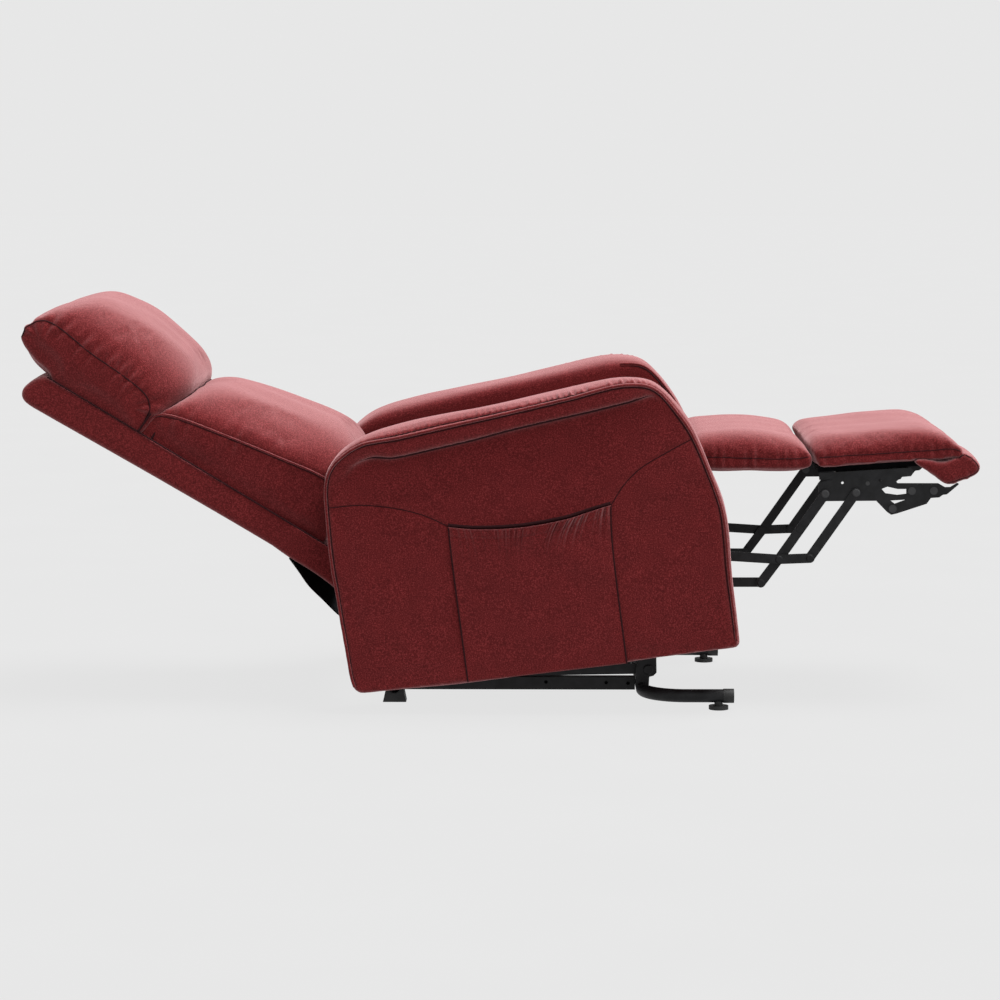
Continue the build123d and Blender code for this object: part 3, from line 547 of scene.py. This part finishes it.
# rings from the inner face to the outer one: distance from the outline, and what is added to it where the
# roll overhangs, per unit of piping distance and per unit of roll height; distance from the middle plane,
# and what the overhang adds to that
ARM_RINGS = [
    (10, 26, 0, 0, 250, 0), (5, 16, 0, 0, 251, 0), (2, 10, 0, 0, 256, 0), (0.5, 6, 0, 0, 266, 0),
    (0, 3, 0, 0, 282, 0), (0, 1, 0, 0, 305, 0), (0, 0.3, 0, 0, 328, 0), (0, 0, 0, 0, 343, 0),
    (0, 0, 0.13, 0, 352, 12), (0, 0, 0.5, 0, 357, 21), (0, 0, 0.8, 0, 359, 23.5), (0, 0, 1, 0.04, 360, 24),
    (0, 0, 1, 0.2, 360, 24.5), (0, 0, 1, 0.57, 360, 24.5), (0, 0, 1, 0.94, 360, 23.5),
    (0, 0, 1, 1, 360, 16), (1, 0, 1, 1, 360.5, 0), (4, 0, 1, 1.1, 361, 0), (10, 0, 1, 1.2, 361.5, 0),
]
# the rings of the seams and piping, in the same terms
ABOVE_PIPING = (0, 0, 0.72, 0, 358.5, 23)
ON_PIPING = (0.5, 0, 1, 0, 360, 24)
BELOW_PIPING = (5.5, 0, 1, 0, 360.5, 24.5)
UNDER_ROLL = (0, 0, 1, 0.95, 360, 15)
INNER_PIPING = (4, 10, 0, 0, 252, 0)
INNER_SEAM = (8, 12, 0, 0, 250, 0)
ARM_STEPS = 8
# which stretches of the outline they follow
PIPED = slice(0, 27 * ARM_STEPS + 1)
CREASED = slice(9 * ARM_STEPS, 19 * ARM_STEPS)
FRONT = slice(17 * ARM_STEPS, 28 * ARM_STEPS)
PIPING_RADIUS = 3.0


def toward_core(line):
    low, high = np.array(ARM_CORE[0]), np.array(ARM_CORE[1])
    way = np.clip(line, low, high) - line
    return way / np.linalg.norm(way, axis=1, keepdims=True)


def arm_line(ring, outline, side):
    inward = toward_core(outline[:, :2])
    drop, overhang, band = outline[:, 2], outline[:, 3], outline[:, 4]
    depth = ring[0] + ring[1] * overhang + ring[2] * drop + ring[3] * band
    flat = outline[:, :2] + inward * depth[:, None]
    return chassis.place(flat[:, 0], side * (ring[4] + ring[5] * overhang), flat[:, 1])


def arm_seams(side):
    """The side panel's two curved seams, which end at the pocket."""
    rear = smooth_path([(-11, 347), (60, 344), (129, 327), (175, 308), (213, 284)], 8)
    front = smooth_path([(686, 389), (640, 372), (579, 345), (545, 318), (517, 284)], 8)
    return [chassis.place(line[:, 0], side * (ARM_PANEL_Y + 2), line[:, 1]) for line in (rear, front)]


def make_arm(side, name):
    outline = smooth_path(ARM_OUTLINE, ARM_STEPS, True)
    arm = skin(f"arm_{name}", [arm_line(ring, outline, side) for ring in ARM_RINGS])
    remesh(arm, 5)
    relax(arm, 2)
    refine(arm)

    above = evenly(arm_line(ABOVE_PIPING, outline[PIPED], side))
    piping = evenly(arm_line(ON_PIPING, outline[PIPED], side))
    below = evenly(arm_line(BELOW_PIPING, outline[PIPED], side))
    crease = evenly(arm_line(UNDER_ROLL, outline[CREASED], side))
    inner_piping = evenly(arm_line(INNER_PIPING, outline[FRONT], side))
    inner_seam = evenly(arm_line(INNER_SEAM, outline[FRONT], side))

    groove(arm, above, 2.0, 3.5)
    groove(arm, below, 1.6, 3.5)

    top_u, _, top_v = chassis.read(piping)
    top = (top_u > 40) & (top_u < 645) & (top_v > 440)

    def above_piping(points):
        u, y, v = chassis.read(points)
        over = v - np.interp(u, top_u[top], top_v[top])
        return (np.abs(y) > 335) * rise(over, -2, 4) * rise(u, 40, 90) * rise(-u, -635, -600)

    length = walked_along(piping)[-1] / MM
    gather(arm, above, 1.9, 24, 13, 11, above_piping,
           lambda walked: 0.45 + bump(walked, length * 0.6, length * 0.09))
    for seam in arm_seams(side):
        groove(arm, seam, 1.3, 4)

    u, y, v = chassis.read(points_of(arm))
    flat = np.stack([u, y, v], 1)
    soft = waves(5, 9, 130, 420)(flat) * 1.3 + waves(6, 7, 60, 120)(flat) * 0.35
    push(arm, soft * rise(np.abs(y), 255, 300))
    keep_within(arm, chassis, low=(-15, -ARM_ROLL_Y - 2, -15), high=(731, ARM_ROLL_Y + 2, 600))

    finish_piece(arm, "chassis", replaces=(f"arm_panel_{name}", f"arm_top_{name}"))
    trim(f"arm_piping_{name}", settle(piping, arm, 1.6), PIPING_RADIUS, "chassis")
    # The dark cords paint the shade in the seam grooves beside the piping and along the panel seams, and the shade
    # under the roll's crease.
    trim(f"arm_piping_seam_{name}", settle(below, arm, 0.1), 1.2, "chassis", dark=True)
    trim(f"arm_top_seam_{name}", settle(above, arm, 0.1), 1.0, "chassis", dark=True)
    trim(f"arm_crease_shade_{name}", settle(crease, arm, -0.4), 3.4, "chassis", dark=True, taper=45)
    trim(f"arm_front_piping_{name}", settle(inner_piping, arm, 0.6), 2.2, "chassis")
    trim(f"arm_front_piping_seam_{name}", settle(inner_seam, arm, 0.2), 1.6, "chassis", dark=True, taper=60)
    for seam, place in zip(arm_seams(side), ("rear", "front")):
        trim(f"arm_{place}_seam_{name}", settle(evenly(seam), arm, 0.1), 0.9, "chassis", dark=True)


# ---------------------------------------------------------------- side pockets
POCKET_SIDES = (211, 509)
POCKET_MOUTH = [(213, 282), (262, 272), (345, 265), (430, 269), (480, 278), (517, 284)]
POCKET_BOTTOM = (-9.5, -12.5)
POCKET_ROWS = 90
POCKET_STAND = {NEAR: 10, FAR: 15}  # how far the mouth stands off; the handset is in the far pocket
POCKET_PUCKER = 6.5
POCKET_PUCKER_REACH = 24
ELASTIC_DROP = 17


def make_pocket(side, name):
    mouth = smooth_path(POCKET_MOUTH, 26)
    columns = len(mouth)
    share = np.linspace(0, 1, columns)
    down = np.linspace(0, 1, POCKET_ROWS)[:, None] ** 1.2
    bottom_u = POCKET_SIDES[0] + share * (POCKET_SIDES[1] - POCKET_SIDES[0])
    bend = 1 - (1 - down) ** 6
    u = mouth[:, 0] * (1 - bend) + bottom_u * bend
    bottom_v = POCKET_BOTTOM[0] + share * (POCKET_BOTTOM[1] - POCKET_BOTTOM[0])
    v = mouth[:, 1] * (1 - down) + bottom_v * down
    drop = mouth[:, 1] - v
    across = np.sin(np.pi * share) ** 0.6
    depth = 2.2 + POCKET_STAND[side] * across * (1 - down) ** 1.1
    puckers = POCKET_PUCKER * waves(21 + side, 6, 9, 17, 1)(mouth[:, :1])
    reach = np.exp(-drop / POCKET_PUCKER_REACH)
    depth = depth + puckers * reach * (0.5 + 0.7 * share) * across * rise(drop, -5, 6)
    depth = depth - 1.4 * bump(drop, ELASTIC_DROP, 2.5)
    slant_folds = np.sin((u * 0.75 + v) / 21 + 1.5) * bump(u, 455, 75) * bump(drop, 75, 70)
    depth = depth + 1.5 * slant_folds
    rings = chassis.place(u, side * (ARM_PANEL_Y + 1.2 + depth), v)
    pocket = skin(f"pocket_{name}_cloth", rings, caps=False, loop=False)
    modify(pocket, "SOLIDIFY", thickness=1.6 * MM, offset=0)
    finish_piece(pocket, "chassis", replaces=(f"pocket_{name}",))
    trim(f"pocket_hem_{name}", rings[0] + np.array([0, side * 0.2 * MM, 0]), 1.3, "chassis")
    # Painted shadow: a dark cord just above the hem paints the shade of the pocket's open mouth.
    shadow = chassis.place(mouth[:, 0], side * (ARM_PANEL_Y + 1.5), mouth[:, 1] + 4.5)
    trim(f"pocket_mouth_shadow_{name}", shadow, 3.4, "chassis", dark=True)
    # Dark cords paint the shade in the pocket's side seams.
    for column, place in ((0, "rear"), (columns - 1, "front")):
        line = rings[:, column] + np.array([0, side * 0.6 * MM, 0])
        trim(f"pocket_{place}_seam_{name}", line, 1.5, "chassis", dark=True)


# ---------------------------------------------------------------- back
def edge_seam(slant, points, half_width, side, steps=8):
    line = smooth_path(points, steps)
    return evenly(slant.place(line[:, 0], side * half_width, line[:, 1]))


def pinch(piece, slant, line_points, half_width, seed, pitch, height, reach):
    """The seam between a cushion's side and its top: a groove, with small gathers on both sides of it."""
    for side in (NEAR, FAR):
        seam = edge_seam(slant, line_points, half_width, side)
        groove(piece, seam, 1.4, 5)
        gather(piece, seam, height, reach, pitch, seed + side, lambda points: 1.0)


def soften(piece, slant, seed, height, shortest=70, longest=260):
    a, y, b = slant.read(points_of(piece))
    push(piece, waves(seed, 9, shortest, longest)(np.stack([a, y, b], 1)) * height)


CUSHION_EDGE = [
    (138, 8), (148, 66), (164, 114), (195, 126), (296, 114), (429, 93), (505, 78), (532, 64), (543, 40),
    (545, 8)]
CUSHION_CENTRE = [
    (138, 8), (136, 90), (150, 180), (200, 210), (330, 194), (440, 168), (478, 146), (496, 120),
    (510, 66), (520, 8)]
CUSHION_HALF_WIDTH = 240


def make_back_cushion():
    cushion = pillow(
        "back_cushion_cover", back, CUSHION_EDGE, CUSHION_CENTRE, CUSHION_HALF_WIDTH, (4.5, 0.58))
    remesh(cushion, 6)
    inflate(cushion, 4, 5)
    relax(cushion, 2)
    refine(cushion)
    seam = CUSHION_EDGE[2:9]
    pinch(cushion, back, seam, CUSHION_HALF_WIDTH + 1, 31, 28, 1.2, 34)
    soften(cushion, back, 33, 1.6)
    keep_within(cushion, back, low=(128, -244, 8), high=(552, 244, 224))
    finish_piece(cushion, "back", replaces=("back_cushion",))
    for side, name in SIDES:
        line = edge_seam(back, seam, CUSHION_HALF_WIDTH + 1, side)
        trim(f"cushion_piping_{name}", settle(line, cushion, 0.5), 1.9, "back")
        # a dark cord below the piping paints the shade in the seam
        lower = edge_seam(back, [(a - 1, b - 3.8) for a, b in seam], CUSHION_HALF_WIDTH + 2, side)
        trim(f"cushion_seam_{name}", settle(lower, cushion, 0.1), 0.9, "back", dark=True)


HEADREST_EDGE = [
    (545, 8), (543, 38), (548, 68), (569, 86), (616, 94), (667, 98), (707, 101), (745, 107), (782, 111),
    (806, 107), (822, 93), (830, 75), (828, 56), (813, 43), (784, 31), (747, 22), (730, 8), (640, 8)]
HEADREST_CENTRE = [
    (541, 8), (508, 60), (492, 104), (494, 142), (514, 164), (574, 183), (642, 193), (705, 191), (748, 180),
    (785, 147), (811, 111), (829, 82), (830, 60), (815, 45), (784, 31), (747, 22), (730, 8), (640, 8)]
HEADREST_HALF_WIDTH = 243


def make_headrest():
    headrest = pillow(
        "headrest_cover", back, HEADREST_EDGE, HEADREST_CENTRE, HEADREST_HALF_WIDTH, (6, 0.52))
    remesh(headrest, 6)
    inflate(headrest, 4, 5)
    relax(headrest, 2)
    refine(headrest)
    seam = HEADREST_EDGE[1:13]
    pinch(headrest, back, seam, HEADREST_HALF_WIDTH + 1, 41, 19, 2.2, 32)
    soften(headrest, back, 43, 1.5)
    keep_within(headrest, back, low=(485, -248, 8), high=(838, 248, 207))
    finish_piece(headrest, "back", replaces=("headrest_pillow",))
    for side, name in SIDES:
        line = edge_seam(back, seam, HEADREST_HALF_WIDTH + 1, side)
        # a dark cord paints the shade in the side seam
        trim(f"headrest_seam_{name}", settle(line, headrest, 0.2), 1.3, "back", dark=True)


VALLEY_REACH = (470, 560, 2)  # where along the back it is looked for
VALLEY_HEIGHT = 260
VALLEY_HALF_WIDTH = 238
VALLEY_STATIONS = 81


def valley(first, second, slant):
    """The line across the chair where two cushions meet, as found from some height above them."""
    graph = bpy.context.evaluated_depsgraph_get()
    trees = [BVHTree.FromObject(piece, graph) for piece in (first, second)]
    down = Vector(slant.place(0, 0, -1) - slant.place(0, 0, 0)).normalized()
    line = []
    for y in np.linspace(-VALLEY_HALF_WIDTH, VALLEY_HALF_WIDTH, VALLEY_STATIONS):
        lowest = None
        for start in slant.place(np.arange(*VALLEY_REACH), y, VALLEY_HEIGHT):
            hits = [tree.ray_cast(Vector(start), down) for tree in trees]
            depth = min(hit[3] if hit[0] is not None else VALLEY_HEIGHT * MM for hit in hits)
            if lowest is None or depth > lowest[0]:
                lowest = (depth, start + np.array(down) * depth)
        line.append(lowest[1])
    line = np.array(line)
    for _ in range(4):
        line[1:-1] = (line[:-2] + 2 * line[1:-1] + line[2:]) / 4
    return line


def make_valley_shade():
    """Painted shade: a dark cord along the line where the cushion and the headrest meet, and down both sides to
    the shell.
    """
    cushion, headrest = bpy.data.objects["back_cushion_cover"], bpy.data.objects["headrest_cover"]
    across = valley(cushion, headrest, back)
    trim("headrest_valley_shade", across, 2.2, "back", dark=True)
    for side, name in SIDES:
        down = back.place(np.array([542, 543, 544, 545]), side * 243.5, np.array([60, 46, 32, 20]))
        trim(f"headrest_valley_shade_{name}", smooth_path(down, 6), 2.0, "back", dark=True)


SHELL_OUTLINE = [
    (140, 18.5), (440, 18.5), (748, 18.5), (761, 8), (770, -9), (774, -27), (769, -40), (756, -46),
    (733, -47), (440, -39.5), (178, -38), (140, -38)]
SHELL_SEAM = [(84, 18), (300, 18.5), (500, 18.5), (744, 18.5)]
SHELL_HALF_WIDTH = 244


def make_shell():
    """The upholstered box behind the cushions."""
    middle = np.mean(SHELL_OUTLINE, axis=0)
    edge = [(a + np.sign(middle[0] - a) * 4, b + np.sign(middle[1] - b) * 4) for a, b in SHELL_OUTLINE]
    shell = pillow("back_shell_cover", back, edge, SHELL_OUTLINE, SHELL_HALF_WIDTH, (24, 0.5))
    remesh(shell, 6)
    relax(shell, 1)
    refine(shell)
    soften(shell, back, 53, 0.9, 150, 420)
    keep_within(shell, back, low=(130, -SHELL_HALF_WIDTH, -47), high=(777, SHELL_HALF_WIDTH, 18.8))
    finish_piece(shell, "back", replaces=("back_shell",))
    for side, name in SIDES:
        line = edge_seam(back, SHELL_SEAM, SHELL_HALF_WIDTH - 0.6, side)
        # a dark cord paints the shade in the shell's seam
        trim(f"shell_seam_{name}", line, 1.5, "back", dark=True)


# up the back, lowest and highest out of the cushion, half width; the upper end starts inside the shell
SKIRT_RINGS = (
    (222, -35.5, 17, 241.8), (196, -37.4, 17, 243.9), (172, -38.6, 17, 244.7), (146, -38.4, 17, 244.8),
    (108, -40, 17, 244.8), (66, -45, 14, 244.8),
)


def make_shell_skirt():
    """The cover's lower end, down between the arms: two sides and a back, one thickness of cloth."""
    rings = []
    for s, low, high, out in SKIRT_RINGS:
        around = [(out - 0.2, high), (out, high - 20), (out - 0.2, low + 10), (out - 1.8, low + 3),
                  (out - 7.8, low)]
        around = [(-y, n) for y, n in around] + [(0, low - 0.8)] + around[::-1]
        line = smooth_path(around, 8)
        rings.append(back.place(s, line[:, 0], line[:, 1]))
    skirt = skin("back_shell_skirt", smooth_rings(rings, 8), caps=False, loop=False)
    modify(skirt, "SOLIDIFY", thickness=2 * MM, offset=0)
    finish_piece(skirt, "back")


CLOTH_PROFILE = [(-99, 250), (-84, 222), (-69, 193), (-46, 163), (-20, 130), (2, 112)]
CLOTH_HALF_WIDTH = 243


def make_dust_cloth():
    """Black cloth that closes the gap below the back."""
    profile = smooth_path(CLOTH_PROFILE, 8)
    across = np.linspace(-CLOTH_HALF_WIDTH, CLOTH_HALF_WIDTH, 60)
    sag = 5 * np.cos(np.pi * across / (2 * CLOTH_HALF_WIDTH))
    rings = [chassis.place(u - sag * 0.6, across, v - sag * 0.6) for u, v in profile]
    cloth = skin("dust_cloth", rings, caps=False, loop=False)
    modify(cloth, "SOLIDIFY", thickness=1.4 * MM, offset=0)
    finish_piece(cloth, None, "black_cloth", replaces=("back_dust_cloth",))
    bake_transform(cloth)


# ---------------------------------------------------------------- seat and footrest pads
SEAT_EDGE = [
    (240, 330), (239, 372), (262, 388), (400, 388), (600, 378), (660, 362), (684, 348), (688, 338),
    (680, 329), (560, 327), (380, 327)]
SEAT_CENTRE = [
    (240, 330), (239, 380), (270, 404), (400, 408), (600, 402), (668, 393), (686, 372), (689, 344),
    (680, 329), (560, 327), (380, 327)]
SEAT_HALF_WIDTH = 241


def make_seat():
    seat = pillow("seat_cover", chassis, SEAT_EDGE, SEAT_CENTRE, SEAT_HALF_WIDTH, (3.0, 0.7))
    remesh(seat, 6)
    inflate(seat, 4, 5)
    relax(seat, 2)
    refine(seat)
    seam = SEAT_EDGE[1:7]
    pinch(seat, chassis, seam, SEAT_HALF_WIDTH + 1, 61, 26, 0.8, 26)
    soften(seat, chassis, 63, 1.4)
    keep_within(seat, chassis, low=(232, -246, 308.5), high=(708, 246, 412))
    finish_piece(seat, "chassis", replaces=("seat_cushion",))


MID_EDGE = [
    (680, 322), (677, 334), (692, 341), (740, 333), (800, 323), (850, 316), (882, 313), (900, 314),
    (908, 304), (897, 292), (790, 303)]
MID_CENTRE = [
    (680, 322), (672, 350), (684, 376), (743, 378), (800, 371), (850, 358), (880, 347), (894, 334),
    (906, 308), (897, 291), (790, 302)]
MID_HALF_WIDTH = 237  # the footrest's outer links pass just outside it as the footrest folds


def make_mid_pad():
    pad = pillow("mid_pad_cover", chassis, MID_EDGE, MID_CENTRE, MID_HALF_WIDTH, (10, 0.5))
    remesh(pad, 4.5)
    inflate(pad, 4, 4)
    relax(pad, 2)
    refine(pad)
    pinch(pad, chassis, MID_EDGE[1:8], MID_HALF_WIDTH, 71, 20, 1.0, 26)
    u, y, v = chassis.read(points_of(pad))
    folds = np.sin((u * 0.9 + y * 0.45) / 17 + 1) * bump(u, 868, 30) * bump(y, -90, 110)
    push(pad, 1.3 * folds * rise(v, 325, 345))
    soften(pad, chassis, 73, 1.3)
    keep_within(pad, chassis, low=(674, -238.6, 288), high=(907.5, 238.6, 395))
    finish_piece(pad, None, replaces=("mid_pad",))
    seams = []
    for side, name in SIDES:
        line = edge_seam(chassis, MID_EDGE[2:8], MID_HALF_WIDTH, side)
        # a dark cord paints the shade in the side seam
        seams.append(trim(f"mid_pad_seam_{name}", settle(line, pad, 0.1), 0.9, None, dark=True))
    for piece in (pad, *seams):
        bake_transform(piece)


FOOT_EDGE = [
    (8, 2), (4, 12), (8, 20), (60, 20), (140, 20), (220, 20.5), (262, 21), (277, 17), (283, 10), (276, 3),
    (140, 1)]
FOOT_CENTRE = [
    (8, 2), (-4, 24), (-13, 44), (4, 55), (90, 60), (200, 62), (242, 51), (268, 32), (283, 15), (276, 3),
    (140, 1)]
FOOT_HALF_WIDTH = 243


def make_foot_pad():
    pad = pillow("foot_pad_cover", footrest, FOOT_EDGE, FOOT_CENTRE, FOOT_HALF_WIDTH, (10, 0.5))
    remesh(pad, 4.5)
    inflate(pad, 4, 4)
    relax(pad, 2)
    refine(pad)
    pinch(pad, footrest, FOOT_EDGE[2:8], FOOT_HALF_WIDTH, 81, 20, 0.9, 24)
    soften(pad, footrest, 83, 1.4)
    keep_within(pad, footrest, low=(-16, -246, 0.3), high=(286, 246, 74))
    finish_piece(pad, "footrest", replaces=("foot_pad",))
    for side, name in SIDES:
        line = edge_seam(footrest, FOOT_EDGE[2:8], FOOT_HALF_WIDTH + 1, side)
        # a dark cord paints the shade in the side seam
        trim(f"foot_pad_seam_{name}", settle(line, pad, 0.1), 0.9, "footrest", dark=True)


ROLL_EDGE = [
    (1097, 279), (1112, 281), (1150, 270), (1178, 277), (1190, 283), (1204, 274), (1217, 254), (1208, 241),
    (1180, 234), (1153, 230), (1128, 253)]
ROLL_CENTRE = [
    (1097, 279), (1112, 281), (1150, 272), (1178, 280), (1192, 285), (1208, 276), (1222, 254), (1210, 237),
    (1180, 228), (1152, 226), (1126, 250)]
ROLL_HALF_WIDTH = 243


def make_front_roll():
    roll = pillow("front_roll_cover", chassis, ROLL_EDGE, ROLL_CENTRE, ROLL_HALF_WIDTH, (6, 0.6))
    remesh(roll, 4)
    relax(roll, 2)
    refine(roll)
    pinch(roll, chassis, ROLL_EDGE[3:10], ROLL_HALF_WIDTH - 1, 91, 16, 0.5, 16)
    soften(roll, chassis, 93, 0.9)
    finish_piece(roll, "footrest", replaces=("footrest_roll",))
    for side, name in SIDES:
        line = edge_seam(chassis, ROLL_EDGE[3:10], ROLL_HALF_WIDTH, side)
        # a dark cord paints the shade in the side seam
        trim(f"front_roll_seam_{name}", settle(line, roll, 0.1), 1.0, "footrest", dark=True)


# ---------------------------------------------------------------- CAD nodes that stay
def paint_frame():
    """Gives each CAD node the material of its slot in the record."""
    for part in frame["record"]["subparts"]:
        materials = frame["nodes"][part["node"]].data.materials
        if not materials:
            materials.append(None)
        for index in range(len(materials)):
            materials[index] = FINISHES[part["material_slot"]]


# ---------------------------------------------------------------- floor, light and camera
BACKGROUND = 0.80
FLOOR_GLOW = 0.75
# name, strength, spread and the two angles by which the light leans, in degrees
LAMPS = (
    ("key", 7.2, 34, (-2, 17, 0)),
    ("front_fill", 0.5, 50, (50, 60, 0)),
)


def make_floor():
    size = 40
    steps = 24
    line = np.linspace(-size, size, steps)
    rings = [[(x, y, -0.0005) for x in line] for y in line]
    floor = skin("floor", rings, caps=False, loop=False)
    material, nodes, links, shader = new_material("floor", Roughness=1.0, Specular_IOR_Level=0.0)
    place = nodes.new("ShaderNodeTexCoord").outputs["Object"]
    shade = ramp(nodes, ((0.3, (0.016, 0.016, 0.016)), (0.7, (0.018, 0.018, 0.018))))
    links.new(noise(nodes, links, place, 3), shade.inputs["Fac"])
    links.new(shade.outputs["Color"], shader.inputs["Base Color"])
    shader.inputs["Emission Color"].default_value = (1, 1, 1, 1)
    shader.inputs["Emission Strength"].default_value = FLOOR_GLOW
    floor.data.materials.append(material)


def make_light():
    world = bpy.data.worlds.new("studio")
    world.use_nodes = True
    world.node_tree.nodes["Background"].inputs["Color"].default_value = (BACKGROUND,) * 3 + (1,)
    bpy.context.scene.world = world
    for name, strength, spread, angles in LAMPS:
        light = bpy.data.lights.new(name, "SUN")
        light.energy = strength
        light.angle = math.radians(spread)
        lamp = bpy.data.objects.new(name, light)
        lamp.rotation_euler = [math.radians(value) for value in angles]
        bpy.context.scene.collection.objects.link(lamp)


CAMERA_PLACE_M = (0.0736, -6.5337, 1.0706)
CAMERA_PITCH = 6.167
CAMERA_YAW = 0.684
CAMERA_LENS = 120.6


def make_camera():
    data = bpy.data.cameras.new("camera")
    data.lens = CAMERA_LENS
    data.sensor_width = 36
    data.clip_end = 200
    camera = bpy.data.objects.new("camera", data)
    camera.location = Vector(CAMERA_PLACE_M)
    camera.rotation_euler = (math.radians(90 - CAMERA_PITCH), 0, math.radians(CAMERA_YAW))
    bpy.context.scene.collection.objects.link(camera)
    bpy.context.scene.camera = camera
    bpy.context.scene.view_settings.view_transform = "Standard"


make_camera()
make_light()
make_floor()
for arm_side, arm_name in ((NEAR, "right"), (FAR, "left")):
    make_arm(arm_side, arm_name)
    make_pocket(arm_side, arm_name)
make_back_cushion()
make_headrest()
make_valley_shade()
make_shell()
make_shell_skirt()
make_dust_cloth()
make_seat()
make_mid_pad()
make_foot_pad()
make_front_roll()
paint_frame()
